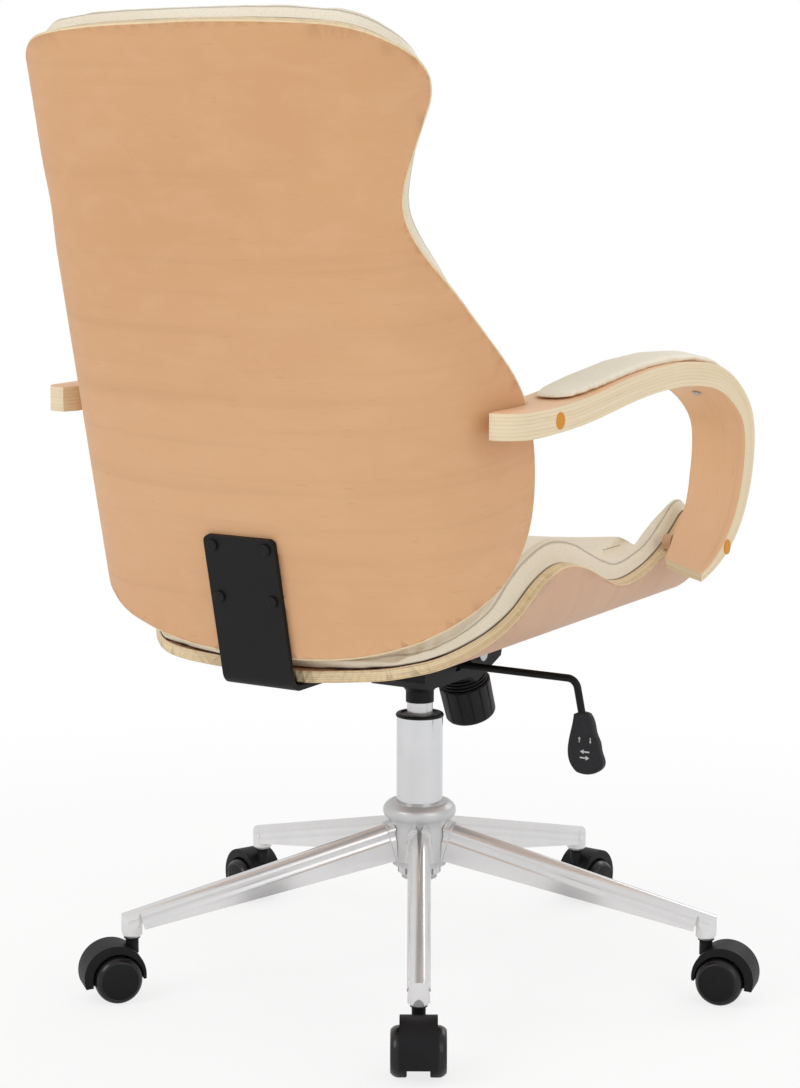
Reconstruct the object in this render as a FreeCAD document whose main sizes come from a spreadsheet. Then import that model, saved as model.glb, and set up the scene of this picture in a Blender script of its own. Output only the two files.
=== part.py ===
import FreeCAD, Part
import math
import os
from types import SimpleNamespace

import Sketcher
from FreeCAD import Placement, Rotation, Vector

# Office armchair: two bent plywood shells joined by a steel bracket, two bent arms,
# a tilt mechanism on a gas column and a pressed steel star base on twin wheel casters.
# Frame: +Z up, the sitter faces -Y, the sitter's left is +X. The origin is on the floor,
# on the axis of the gas column. Millimetres and degrees.

os.makedirs("parts", exist_ok=True)
doc = FreeCAD.newDocument("office_armchair")

# Driving dimensions. Each one is a cell of the sheet under its own name.
VALUES = {
    # Fits and gaps
    "running_gap": 0.05,
    "seat_gap": 0.3,
    "soft_gap": 0.5,
    "weld_gap": 0.1,
    # Star base
    "first_leg_angle": 121.8,
    "caster_circle": 318.3,
    "hub_radius": 33.0,
    "hub_bottom": 125.0,
    "hub_top": 189.0,
    "hub_waist_radius": 32.0,
    "hub_waist_level": 163.0,
    "hub_ring_radius": 39.0,
    "hub_ring_bottom": 173.0,
    "hub_ring_top": 186.0,
    "hub_ring_round": 9.0,
    "hub_waist_round": 14.0,
    "hub_step_radius": 29.0,
    "hub_step_bottom": 119.0,
    "leg_root_top": 166.5,
    "leg_tip_top": 93.4,
    "leg_wall": 2.0,
    "leg_root_depth": 41.0,
    "leg_neck_depth": 22.0,
    "leg_half": 13.4,
    "leg_arch_half": 16.2,
    "leg_arch_length": 7.0,
    "leg_groove_depth": 5.0,
    "leg_groove_half": 4.5,
    "leg_groove_length": 118.0,
    "leg_crest_half": 6.0,
    "leg_crest_drop": 1.2,
    "leg_shoulder_half": 10.0,
    "leg_shoulder_drop": 7.5,
    "leg_channel_half": 9.0,
    "leg_channel_drop": 12.5,
    "leg_skirt_half": 11.4,
    "leg_skirt_drop": 18.0,
    "socket_radius": 11.0,
    "socket_bottom": 65.3,
    "socket_bore_top": 88.0,
    "socket_round": 2.5,
    # Casters
    "wheel_radius": 25.0,
    "wheel_width": 16.0,
    "wheel_round": 10.0,
    "wheel_tread": 7.0,
    "wheel_face_radius": 20.6,
    "wheel_cap_radius": 19.5,
    "wheel_cap_sink": 0.8,
    "wheel_bore_depth": 12.0,
    "caster_trail": 18.5,
    "caster_web": 21.0,
    "caster_web_gap": 0.8,
    "hood_width": 37.0,
    "hood_radius": 33.0,
    "hood_shift_out": 3.0,
    "hood_shift_up": 3.0,
    "hood_clearance": 2.0,
    "hood_end_level": 20.5,
    "hood_end_slope": 6.0,
    "axle_radius": 3.0,
    "axle_boss_radius": 7.5,
    "neck_radius": 6.9,
    "stem_radius": 5.5,
    "stem_top": 86.0,
    "stem_foot": 50.0,
    "stem_flange_radius": 8.6,
    "stem_flange_height": 0.9,
    # Gas column
    "tube_radius": 25.0,
    "tube_wall": 2.4,
    "tube_top": 282.5,
    "tube_tail_radius": 23.5,
    "tube_tail_top": 184.0,
    "tube_bottom": 109.0,
    "tube_floor": 4.0,
    "rim_height": 3.6,
    "rim_radius": 25.8,
    "rim_round": 2.4,
    "guide_length": 66.0,
    "piston_radius": 14.0,
    "piston_bottom": 122.0,
    "piston_top": 330.0,
    "piston_wall": 2.0,
    "piston_seal": 6.0,
    "rod_radius": 5.0,
    "rod_top": 240.0,
    "clip_radius": 19.0,
    "clip_height": 5.0,
    "pin_radius": 4.0,
    "pin_height": 3.0,
    # Tilt mechanism
    "collar_radius": 15.2,
    "collar_bottom": 298.5,
    "collar_top": 310.6,
    "flare_radius": 24.0,
    "housing_width": 72.0,
    "housing_floor": 321.0,
    "housing_rear": 48.0,
    "housing_rear_top": 345.0,
    "housing_front": -114.0,
    "housing_brow": -121.0,
    "housing_top": 366.0,
    "housing_round": 5.0,
    "tilt_pin_y": -62.0,
    "tilt_pin_z": 345.0,
    "tilt_pin_radius": 5.0,
    "tilt_head_radius": 8.0,
    "tilt_head_height": 3.0,
    "plate_width": 160.0,
    "plate_front": -100.0,
    "plate_rear": 90.0,
    "plate_thickness": 4.0,
    "ear_thickness": 4.0,
    "ear_length": 44.0,
    "ear_drop": 12.0,
    "knob_lean": 22.0,
    "knob_y": -109.0,
    "knob_z": 265.0,
    "knob_radius": 29.0,
    "knob_foot_radius": 28.2,
    "knob_height": 44.0,
    "knob_round": 4.0,
    "flute_radius": 1.3,
    "flute_count": 14.0,
    "cup_radius": 27.0,
    "cup_top_radius": 24.0,
    "cup_height": 19.0,
    "cup_rib_depth": 1.8,
    "lever_y": -20.0,
    "lever_z": 339.0,
    "lever_x": -28.0,
    "lever_radius": 4.0,
    "lever_inner": -14.0,
    "lever_bend": -180.0,
    "lever_bend_radius": 12.0,
    "lever_foot_x": -189.0,
    "lever_foot_z": 296.0,
    "lever_slot": 7.0,
    "bush_radius": 8.0,
    "bush_length": 14.0,
    "paddle_top": 303.0,
    "paddle_bottom": 240.0,
    "paddle_lean": 7.0,
    "paddle_shift": 3.0,
    "paddle_top_half": 9.0,
    "paddle_wide_half": 20.5,
    "paddle_wide_drop": 46.0,
    "paddle_thickness": 9.0,
    "paddle_grip_round": 16.0,
    # Seat shell
    "seat_level": 376.0,
    "seat_rise": 1.26,
    "seat_ply": 12.0,
    "seat_centre_radius": 800.0,
    "seat_centre_half": 162.0,
    "seat_bend_radius": 64.0,
    "seat_wall_angle": 80.0,
    # Back shell
    "back_hinge_y": 328.0,
    "back_hinge_z": 520.0,
    "back_recline": 12.5,
    "back_ply": 11.0,
    "back_centre_radius": 750.0,
    "back_centre_half": 160.0,
    "back_bend_radius": 102.0,
    "back_wing_angle": 82.0,
    # Steel bracket
    "strap_width": 83.0,
    "strap_thickness": 5.0,
    "strap_top": -2.0,
    "strap_front": 98.0,
    "strap_bend": 9.0,
    "strap_corner": 7.0,
    "strap_screw_across": 62.0,
    "strap_screw_upper": -12.0,
    "strap_screw_along": 53.0,
    "screw_head_radius": 6.0,
    "screw_head_height": 2.6,
    "screw_radius": 2.5,
    "screw_bite": 8.0,
    "bolt_head_radius": 6.5,
    "bolt_head_height": 4.0,
    "bolt_radius": 3.0,
    "bolt_bite": 8.0,
    "bolt_across": 62.0,
    "bolt_front": -84.0,
    "bolt_rear": 70.0,
    # Arms
    "arm_width": 63.0,
    "arm_stand": 7.9,
    "arm_lap_gap": 8.0,
    "arm_step_front": 168.0,
    "arm_step_rear": 208.0,
    "arm_tip": 286.0,
    "foot_end_inner": -134.0,
    "foot_end_outer": -104.0,
    "foot_inner": 232.0,
    "foot_inner_level": 437.0,
    "foot_inner_top": 486.0,
    "arm_scribe_top": 545.0,
    "arm_bolt_y": 207.0,
    "arm_bolt_z": 634.5,
    "foot_bolt_y": -166.0,
    "foot_bolt_z": 469.0,
    "plug_radius": 6.3,
    "plug_depth": 5.0,
    "arm_bolt_head_radius": 5.5,
    "arm_bolt_head_depth": 9.0,
    "arm_bolt_bite": 8.0,
    "pad_half": 26.0,
    "pad_height": 9.0,
    "pad_rear": 180.0,
    "pad_screw_radius": 4.5,
    "pad_screw_height": 2.0,
    # Cushions
    "cushion_inset": 0.0,
    "seat_cushion_middle": 40.0,
    "seat_cushion_edge": 16.0,
    "back_cushion_middle": 36.0,
    "back_cushion_edge": 20.0,
    "cushion_bulge": 4.0,
    "back_cushion_top": 495.0,
    "back_cushion_bottom": -88.0,
    "seat_cushion_front": -256.0,
    "seat_cushion_rear": 262.0,
}

# Half outline of the back shell, laid flat: distance out from the middle line along the
# bent sheet, and height along the recline line from the bracket's upper screws.
BACK_EDGE = [
    (0.0, 489.5), (75.0, 488.0), (140.0, 483.0), (184.0, 474.5), (216.0, 458.5), (238.0, 441.0),
    (249.0, 421.0), (248.0, 404.0), (240.0, 387.0),
    (221.0, 348.0), (210.5, 312.0), (218.0, 280.0), (246.0, 234.0), (272.0, 194.0),
    (303.0, 152.0), (328.0, 108.0), (336.0, 62.0), (331.0, 16.0), (315.0, -25.0),
    (287.0, -54.0), (240.0, -79.0), (180.0, -103.0), (105.0, -122.0), (0.0, -127.0),
]

# Half outline of the seat shell, laid flat: distance out along the bent sheet, and
# distance to the rear.
SEAT_EDGE = [
    (0.0, 273.0), (100.0, 273.0), (136.0, 270.0), (160.0, 252.0), (184.0, 226.0),
    (208.0, 185.0), (234.0, 146.0), (257.0, 112.0), (269.0, 72.0), (262.0, 26.0),
    (245.0, -18.0), (230.0, -58.0), (226.0, -90.0), (233.0, -124.0), (250.0, -166.0),
    (272.0, -196.0), (286.0, -216.0), (274.0, -243.0), (238.0, -258.0), (140.0, -263.0),
    (0.0, -264.0),
]

# Middle line of an arm seen from the side (rearward, up), with its half thickness.
ARM_PATH = [
    (286.0, 633.5, 12.5), (208.5, 635.5, 12.5), (148.0, 640.5, 12.5), (67.5, 652.0, 12.5),
    (-21.0, 660.0, 12.5), (-87.0, 659.0, 12.5), (-146.0, 649.0, 12.5), (-191.0, 626.0, 12.5),
    (-214.0, 601.0, 12.5), (-219.0, 574.0, 12.3), (-214.5, 542.0, 11.5), (-202.0, 511.0, 10.3),
    (-178.0, 481.0, 8.5), (-140.0, 456.0, 5.5), (-100.0, 443.0, 4.0),
]

for index, (out, along) in enumerate(BACK_EDGE, start=1):
    VALUES[f"back_edge_out_{index}"] = out
    VALUES[f"back_edge_along_{index}"] = along
for index, (out, along) in enumerate(SEAT_EDGE, start=1):
    VALUES[f"seat_edge_out_{index}"] = out
    VALUES[f"seat_edge_along_{index}"] = along
for index, (rearward, up, half) in enumerate(ARM_PATH, start=1):
    VALUES[f"arm_path_rear_{index}"] = rearward
    VALUES[f"arm_path_up_{index}"] = up
    VALUES[f"arm_path_half_{index}"] = half

LEGS = 5

sheet = doc.addObject("Spreadsheet::Sheet", "Sizes")
for row, (name, value) in enumerate(VALUES.items(), start=1):
    sheet.set(f"A{row}", name)
    sheet.set(f"B{row}", str(value))
    sheet.setAlias(f"B{row}", name)
doc.recompute()


# A size keeps its number and the expression that binds an object to the sheet.
class Size:
    def __init__(self, value, text):
        self.value = float(value)
        self.text = text

    def __float__(self):
        return self.value

    def __neg__(self):
        return Size(-self.value, f"(0 - {self.text})")

    def __add__(self, other):
        other = as_size(other)
        return Size(self.value + other.value, f"({self.text} + {other.text})")

    def __sub__(self, other):
        other = as_size(other)
        return Size(self.value - other.value, f"({self.text} - {other.text})")

    def __mul__(self, factor):
        return Size(self.value * factor, f"({self.text} * {factor})")

    def __truediv__(self, factor):
        return Size(self.value / factor, f"({self.text} / {factor})")


def as_size(item):
    if isinstance(item, Size):
        return item
    return Size(item, str(float(item)))


cell = SimpleNamespace(**{name: Size(sheet.get(name), f"Sizes.{name}") for name in VALUES})
num = SimpleNamespace(**{name: float(sheet.get(name)) for name in VALUES})

nodes = []


def keep(item, label):
    item.Label = label
    nodes.append(item)
    return item


def bind(item, **sizes):
    for name, value in sizes.items():
        item.setExpression(name, as_size(value).text)


def place(item, x=0.0, y=0.0, z=0.0, axis=Vector(0, 0, 1), angle=0.0):
    item.Placement = Placement(Vector(float(x), float(y), float(z)), Rotation(axis, angle))
    for name, value in (("x", x), ("y", y), ("z", z)):
        if isinstance(value, Size):
            item.setExpression(f"Placement.Base.{name}", value.text)
    return item


def cylinder(name, radius, height):
    item = doc.addObject("Part::Cylinder", name)
    bind(item, Radius=radius, Height=height)
    return item


def box(name, length, width, height):
    item = doc.addObject("Part::Box", name)
    bind(item, Length=length, Width=width, Height=height)
    return item


def fuse(name, pieces):
    item = doc.addObject("Part::MultiFuse", name)
    item.Shapes = pieces
    return item


def cut(name, base, tool):
    item = doc.addObject("Part::Cut", name)
    item.Base = base
    item.Tool = tool
    return item


def moved(item, frame):
    item.Placement = frame.multiply(item.Placement)
    return item


def feature(name, shape, frame=None):
    item = doc.addObject("Part::Feature", name)
    item.Shape = shape
    if frame:
        item.Placement = frame
    return item


# Sketches. An outline is a closed list of corners. A third entry is the radius of the arc
# that leads to the corner: positive turns left on the way, negative turns right.
def arc_between(start, end, radius):
    chord = end - start
    half = chord.Length / 2
    rise = math.sqrt(max(radius * radius - half * half, 0.0))
    left = Vector(-chord.y, chord.x, 0).normalize()
    centre = (start + end) / 2 + left * (rise if radius > 0 else -rise)
    first, last = (start, end) if radius > 0 else (end, start)
    low = math.atan2(first.y - centre.y, first.x - centre.x)
    high = math.atan2(last.y - centre.y, last.x - centre.x)
    if high < low:
        high += 2 * math.pi
    circle = Part.Circle(centre, Vector(0, 0, 1), abs(radius))
    return Part.ArcOfCircle(circle, low, high)


def sketch_on(body, role, outline):
    plane = [item for item in body.Origin.OriginFeatures if item.Role == role][0]
    sketch = body.newObject("Sketcher::SketchObject", body.Name + "_sketch")
    sketch.AttachmentSupport = [(plane, "")]
    sketch.MapMode = "FlatFace"
    points = [Vector(float(item[0]), float(item[1]), 0) for item in outline]
    ends = []
    for index, item in enumerate(outline):
        start, end = points[index - 1], points[index]
        if len(item) == 3:
            radius = float(item[2])
            sketch.addGeometry(arc_between(start, end, radius), False)
            ends.append((1, 2) if radius > 0 else (2, 1))
        else:
            sketch.addGeometry(Part.LineSegment(start, end), False)
            ends.append((1, 2))
    count = len(outline)
    for index in range(count):
        after = (index + 1) % count
        sketch.addConstraint(Sketcher.Constraint("Coincident", index, ends[index][1], after, ends[after][0]))
    for index, item in enumerate(outline):
        for kind, value in (("DistanceX", item[0]), ("DistanceY", item[1])):
            value = as_size(value)
            number = sketch.addConstraint(Sketcher.Constraint(kind, -1, 1, index, ends[index][1], value.value))
            sketch.setExpression(f"Constraints[{number}]", value.text)
        if len(item) == 3:
            value = as_size(item[2])
            value = value if value.value > 0 else -value
            number = sketch.addConstraint(Sketcher.Constraint("Radius", index, value.value))
            sketch.setExpression(f"Constraints[{number}]", value.text)
    return sketch


# A turned piece: the outline gives radius and height, and turns about the upright axis.
def turned(name, outline):
    body = doc.addObject("PartDesign::Body", name)
    sketch = sketch_on(body, "XZ_Plane", outline)
    turn = body.newObject("PartDesign::Revolution", name + "_turn")
    turn.Profile = sketch
    turn.ReferenceAxis = (sketch, ["V_Axis"])
    turn.Angle = 360
    body.Tip = turn
    return body


# A piece of constant profile, with half of its length each side of the sketch.
def pressed(name, role, outline, length):
    body = doc.addObject("PartDesign::Body", name)
    sketch = sketch_on(body, role, outline)
    pad = body.newObject("PartDesign::Pad", name + "_pad")
    pad.Profile = sketch
    pad.SideType = "Symmetric"
    bind(pad, Length=length)
    body.Tip = pad
    return body


# Star base: hub turned from one profile, with a bored seat for the gas column.
tube_seat = cell.tube_radius + cell.running_gap
hub = turned("base_hub", [
    (tube_seat, cell.hub_step_bottom),
    (cell.hub_step_radius, cell.hub_step_bottom),
    (cell.hub_step_radius, cell.hub_bottom),
    (cell.hub_radius - 1, cell.hub_bottom),
    (cell.hub_radius, cell.hub_bottom + 1),
    (cell.hub_waist_radius, cell.hub_waist_level),
    (cell.hub_ring_radius - 1.5, cell.hub_ring_bottom, -cell.hub_waist_round),
    (cell.hub_ring_radius - 3.0, cell.hub_ring_top, cell.hub_ring_round),
    (cell.tube_radius + 3.0, cell.hub_top, cell.hub_ring_round),
    (tube_seat, cell.hub_top),
])
keep(hub, "base_hub")


# A leg is a pressed channel, open below: a ridge pinched where it leaves the hub, a channel
# along each side and a flared skirt that grows shallower outward. It turns into a socket.
def leg_profile(inset, extra):
    crest = num.leg_crest_half - inset * 0.5
    drop = num.leg_skirt_drop
    half = num.leg_half
    right = [
        Vector(0, 0, -inset), Vector(0, crest, -num.leg_crest_drop - inset),
        Vector(0, num.leg_shoulder_half - inset, -num.leg_shoulder_drop - inset * 0.6),
        Vector(0, num.leg_channel_half - inset, -num.leg_channel_drop - inset * 0.3),
        Vector(0, num.leg_skirt_half - inset, -drop), Vector(0, half - inset, -extra),
    ]
    left = [Vector(0, -point.y, point.z) for point in right]
    ridge = Part.Arc(right[2], right[0], left[2]).toShape()
    edges = [ridge]
    for side in (right, left):
        edges.append(Part.Arc(side[2], side[3], side[4]).toShape())
        edges.append(Part.makeLine(side[4], side[5]))
    return edges, right[5], left[5]


def leg_bar(start, end, inset, extra):
    edges, right, left = leg_profile(inset, extra)
    edges.append(Part.makeLine(right, left))
    face = Part.Face(Part.Wire(Part.__sortEdges__(edges)))
    bar = face.extrude(Vector((end - start) * math.hypot(1.0, leg_slope), 0, 0))
    bar.Placement = Placement(
        Vector(start, 0, leg_top(start)), Rotation(Vector(0, 1, 0), math.degrees(math.atan(leg_slope)))
    )
    return bar


leg_slope = (num.leg_root_top - num.leg_tip_top) / (num.caster_circle - num.hub_radius)


def leg_top(x):
    return num.leg_tip_top + leg_slope * (num.caster_circle - x)


def leg_shape():
    root = num.hub_radius - 6.0
    inner_edge = num.caster_circle - num.socket_radius
    end = inner_edge + num.socket_radius * 0.4
    deep = num.leg_root_depth + 12.0
    outer = leg_bar(root, end, 0.0, deep)
    inner = leg_bar(root - 1.0, end + 1.0, num.leg_wall, deep + 10.0)
    channel = outer.cut(inner)
    # The skirt's lower edge runs straight from the hub to the socket.
    far = num.caster_circle + 20.0
    near_low = leg_top(root) - num.leg_root_depth
    far_low = leg_top(inner_edge) - num.leg_neck_depth
    fall = (far_low - near_low) / (inner_edge - root)
    low = [
        Vector(root - 20.0, -60, near_low - fall * 20.0), Vector(far, -60, near_low + fall * (far - root)),
        Vector(far, -60, -200.0), Vector(root - 20.0, -60, -200.0),
    ]
    under = Part.Face(Part.makePolygon(low + [low[0]])).extrude(Vector(0, 120, 0))
    channel = channel.cut(under)
    # A collar as wide as the hub's arch stands round the root of the leg.
    arch = num.hub_radius + num.leg_arch_length
    grow = num.leg_arch_half - num.leg_half
    collar = leg_bar(root, arch, -grow, deep).cut(leg_bar(root - 1.0, arch + 1.0, 0.0, deep + 10.0)).cut(under)
    channel = channel.fuse(collar)
    channel = channel.cut(Part.makeCylinder(num.hub_radius + num.weld_gap, 240.0))
    # The pinch in the ridge narrows from the hub to a point.
    start = num.hub_radius - 1.0
    finish = num.hub_radius + num.leg_groove_length
    half = num.leg_groove_half
    lift = 3.0
    mouth = [Vector(start, -half, leg_top(start) + lift), Vector(start, half, leg_top(start) + lift),
             Vector(start, 0, leg_top(start) - num.leg_groove_depth)]
    point = [Vector(finish, -half, leg_top(finish) + lift), Vector(finish, half, leg_top(finish) + lift),
             Vector(finish, 0, leg_top(finish) + 0.2)]
    pinch = Part.makeLoft([Part.makePolygon(mouth + [mouth[0]]), Part.makePolygon(point + [point[0]])], True, True)
    outside = channel.cut(pinch)
    channel = outside
    roof = leg_bar(inner_edge - 4.0, num.caster_circle + num.socket_radius + 4.0, 0.0, deep)
    socket = Part.makeCylinder(num.socket_radius, 80.0, Vector(num.caster_circle, 0, num.socket_bottom))
    rim = [edge for edge in socket.Edges if abs(edge.BoundBox.ZMax - num.socket_bottom) < 0.01]
    socket = socket.makeChamfer(min(num.socket_round, num.socket_radius * 0.4), rim)
    leg = channel.fuse(socket.common(roof))
    bore_height = num.socket_bore_top - num.socket_bottom + 1.0
    bore = Part.makeCylinder(
        num.stem_radius + num.running_gap, bore_height,
        Vector(num.caster_circle, 0, num.socket_bottom - 1.0),
    )
    leg = leg.cut(bore).removeSplitter()
    return max(leg.Solids, key=lambda solid: solid.Volume)


one_leg = leg_shape()


def leg_frame(index):
    return Placement(Vector(0, 0, 0), Rotation(Vector(0, 0, 1), num.first_leg_angle + index * 360.0 / LEGS))


for index in range(LEGS):
    keep(feature(f"base_leg_{index + 1}", one_leg, leg_frame(index)), f"base_leg_{index + 1}")


# Casters, each made at the origin with its trail along +X and then carried to its leg.
def caster_frame(index):
    return leg_frame(index).multiply(Placement(Vector(num.caster_circle, 0, 0), Rotation()))


ACROSS = Rotation(Vector(1, 0, 0), -90)


def across(name, radius, length, x, z):
    item = cylinder(name, radius, length)
    item.Placement = Placement(Vector(0, 0, 0), ACROSS)
    item.setExpression("Placement.Base.x", as_size(x).text)
    item.setExpression("Placement.Base.y", (-(as_size(length) / 2)).text)
    item.setExpression("Placement.Base.z", as_size(z).text)
    return item


def settle(item, frame):
    doc.recompute()
    shape = item.Shape.copy()
    shape.Placement = Placement()
    return shape


def caster_shapes():
    hood_room = cell.wheel_radius + cell.hood_clearance
    shell = across(
        "hood_outside", cell.hood_radius, cell.hood_width,
        cell.caster_trail + cell.hood_shift_out, cell.wheel_radius + cell.hood_shift_up,
    )
    rooms = []
    for side in (1, -1):
        room = cylinder(f"wheel_room_{side}", hood_room, cell.hood_width)
        room.Placement = Placement(Vector(0, 0, 0), Rotation(Vector(1, 0, 0), -90 * side))
        room.setExpression("Placement.Base.x", cell.caster_trail.text)
        room.setExpression("Placement.Base.y", (cell.caster_web * (0.5 * side)).text)
        room.setExpression("Placement.Base.z", cell.wheel_radius.text)
        rooms.append(room)
    below = box("below_hood", cell.hood_radius * 4, cell.hood_width * 2, cell.hood_radius * 2)
    below.Placement = Placement(Vector(0, 0, 0), Rotation(Vector(0, 1, 0), 0))
    doc.recompute()
    tilt = Rotation(Vector(0, 1, 0), num.hood_end_slope)
    corner = tilt.multVec(Vector(-2 * num.hood_radius, -num.hood_width, -2 * num.hood_radius))
    below.Placement = Placement(Vector(num.caster_trail, 0, num.hood_end_level) + corner, tilt)
    hood = cut("hood", shell, fuse("hood_cuts", rooms + [below]))
    boss = across("axle_boss", cell.axle_boss_radius, cell.caster_web, cell.caster_trail, cell.wheel_radius)
    neck = cylinder("caster_neck", cell.neck_radius, cell.socket_bottom - cell.stem_foot - cell.seat_gap * 4)
    place(neck, z=cell.stem_foot - 2)
    solid = fuse("caster_solid", [hood, boss, neck])
    axle_hole = across(
        "axle_hole", cell.axle_radius + cell.running_gap, cell.hood_width * 2,
        cell.caster_trail, cell.wheel_radius,
    )
    stem_hole = cylinder("stem_hole", cell.stem_radius + cell.running_gap, cell.stem_top)
    place(stem_hole, z=cell.stem_foot)
    body = cut("caster_body", solid, fuse("caster_holes", [axle_hole, stem_hole]))
    return body


def stem_object(name):
    shank = cylinder(name + "_shank", cell.stem_radius, cell.stem_top - cell.stem_foot)
    place(shank, z=cell.stem_foot)
    flange = cylinder(name + "_flange", cell.stem_flange_radius, cell.stem_flange_height)
    place(flange, z=cell.socket_bottom - cell.stem_flange_height - cell.seat_gap)
    return fuse(name, [shank, flange])


def wheel_outline():
    width = cell.wheel_width
    bore = cell.axle_radius + cell.running_gap
    return [
        (bore, 0), (cell.wheel_radius - 1, 0), (cell.wheel_radius, 1), (cell.wheel_radius, cell.wheel_tread),
        (cell.wheel_face_radius, width, cell.wheel_round),
        (cell.wheel_cap_radius + 0.6, width),
        (cell.wheel_cap_radius, width - cell.wheel_cap_sink),
        (cell.wheel_cap_radius - 1.2, width - cell.wheel_cap_sink * 0.5),
        (0, width - cell.wheel_cap_sink * 0.5),
        (0, cell.wheel_bore_depth), (bore, cell.wheel_bore_depth),
    ]


caster_master = caster_shapes()
stem_master = stem_object("caster_stem")
axle_length = (cell.caster_web * 0.5 + cell.caster_web_gap + cell.wheel_bore_depth - 0.5) * 2
doc.recompute()
for index in range(LEGS):
    frame = caster_frame(index)
    number = index + 1
    keep(feature(f"caster_body_{number}", caster_master.Shape, frame), f"caster_body_{number}")
    keep(feature(f"caster_stem_{number}", stem_master.Shape, frame), f"caster_stem_{number}")
    axle = cylinder(f"caster_axle_{number}", cell.axle_radius, axle_length)
    axle.Placement = frame.multiply(
        Placement(Vector(num.caster_trail, -float(axle_length) / 2, num.wheel_radius), ACROSS)
    )
    keep(axle, f"caster_axle_{number}")
    for letter, side in (("a", 1), ("b", -1)):
        wheel = turned(f"wheel_{letter}_{number}", wheel_outline())
        start = side * (num.caster_web / 2 + num.caster_web_gap)
        wheel.Placement = frame.multiply(
            Placement(Vector(num.caster_trail, start, num.wheel_radius), Rotation(Vector(1, 0, 0), -90 * side))
        )
        keep(wheel, f"wheel_{letter}_{number}")

# Gas column: tapered outer tube, guide with a rounded rim, polished piston on a fixed rod.
tube_inner = cell.tube_radius - cell.tube_wall
gas_tube = turned("gas_tube", [
    (cell.rod_radius + cell.running_gap, cell.tube_bottom),
    (cell.tube_tail_radius - 1.5, cell.tube_bottom),
    (cell.tube_tail_radius, cell.tube_bottom + 1.5),
    (cell.tube_radius, cell.tube_tail_top),
    (cell.tube_radius, cell.tube_top),
    (tube_inner, cell.tube_top),
    (tube_inner, cell.tube_tail_top),
    (cell.tube_tail_radius - cell.tube_wall, cell.tube_bottom + cell.tube_floor),
    (cell.rod_radius + cell.running_gap, cell.tube_bottom + cell.tube_floor),
])
keep(gas_tube, "gas_tube")
piston_seat = cell.piston_radius + cell.running_gap
rim_top = cell.tube_top + cell.rim_height
tube_ring = turned("tube_ring", [
    (piston_seat, rim_top - 1.2),
    (piston_seat, cell.tube_top - cell.guide_length),
    (tube_inner - cell.running_gap, cell.tube_top - cell.guide_length),
    (tube_inner - cell.running_gap, cell.tube_top + cell.running_gap),
    (cell.rim_radius, cell.tube_top + cell.running_gap),
    (cell.rim_radius - 2.2, rim_top, cell.rim_round),
    (tube_inner - 1.6, rim_top),
    (tube_inner - 2.6, rim_top - 1.2),
])
keep(tube_ring, "tube_ring")
gas_rod = place(cylinder("gas_rod", cell.rod_radius, cell.rod_top - cell.tube_bottom + cell.clip_height),
                z=cell.tube_bottom - cell.clip_height)
keep(gas_rod, "gas_rod")
clip_disc = place(cylinder("clip_disc", cell.clip_radius, cell.clip_height - cell.weld_gap),
                  z=cell.tube_bottom - cell.clip_height)
clip_hole = place(cylinder("clip_hole", cell.rod_radius + cell.running_gap, cell.clip_height * 3),
                  z=cell.tube_bottom - cell.clip_height * 2)
keep(cut("tube_clip", clip_disc, clip_hole), "tube_clip")
piston_bore = cell.piston_radius - cell.piston_wall
gas_piston = turned("gas_piston", [
    (cell.rod_radius + cell.running_gap, cell.piston_bottom),
    (cell.piston_radius - 1, cell.piston_bottom),
    (cell.piston_radius, cell.piston_bottom + 1),
    (cell.piston_radius, cell.piston_top - 1),
    (cell.piston_radius - 1, cell.piston_top),
    (0, cell.piston_top),
    (0, cell.piston_top - cell.piston_seal * 2),
    (piston_bore, cell.piston_top - cell.piston_seal * 2),
    (piston_bore, cell.piston_bottom + cell.piston_seal),
    (cell.rod_radius + cell.running_gap, cell.piston_bottom + cell.piston_seal),
])
keep(gas_piston, "gas_piston")
release_pin = place(cylinder("release_pin", cell.pin_radius, cell.pin_height), z=cell.piston_top)
keep(release_pin, "release_pin")

# Tilt mechanism housing: a folded steel box with a turned collar on the piston.
lean = math.radians(num.knob_lean)
knob_up = Vector(0, math.sin(lean), math.cos(lean))
knob_root = Vector(0, num.knob_y, num.knob_z)
cup_top = knob_root + knob_up * (num.knob_height + num.seat_gap + num.cup_height)
shoe = Vector(0, math.cos(lean), -math.sin(lean))
shoe_front = cup_top + knob_up * num.weld_gap - shoe * (num.cup_top_radius + 5.0)
shoe_rear = cup_top + knob_up * num.weld_gap + shoe * (num.cup_top_radius + 3.0)
housing_body = pressed("housing_box", "YZ_Plane", [
    (shoe_front.y, shoe_front.z),
    (shoe_rear.y, shoe_rear.z),
    (shoe_rear.y + 12.0, cell.housing_floor),
    (cell.housing_rear - 8.0, cell.housing_floor),
    (cell.housing_rear, cell.housing_floor + 8.0),
    (cell.housing_rear, cell.housing_rear_top),
    (cell.tilt_pin_y, cell.housing_top),
    (cell.housing_brow, cell.housing_top),
], cell.housing_width)
collar = turned("housing_collar", [
    (0, cell.collar_bottom),
    (cell.collar_radius, cell.collar_bottom),
    (cell.collar_radius, cell.collar_top),
    (cell.flare_radius, cell.housing_floor + 1),
    (0, cell.housing_floor + 1),
])
housing_solid = fuse("housing_solid", [housing_body, collar])
piston_hole = place(
    cylinder("piston_hole", piston_seat, cell.piston_top - cell.collar_bottom + 1 + cell.running_gap),
    z=cell.collar_bottom - 1,
)
pin_room = place(cylinder("pin_room", cell.pin_radius * 2.4, cell.housing_top - cell.piston_top), z=cell.piston_top)
pin_hole = cylinder("tilt_pin_hole", cell.tilt_pin_radius + cell.running_gap, cell.housing_width * 2)
pin_hole.Placement = Placement(Vector(0, 0, 0), Rotation(Vector(0, 1, 0), 90))
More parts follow.
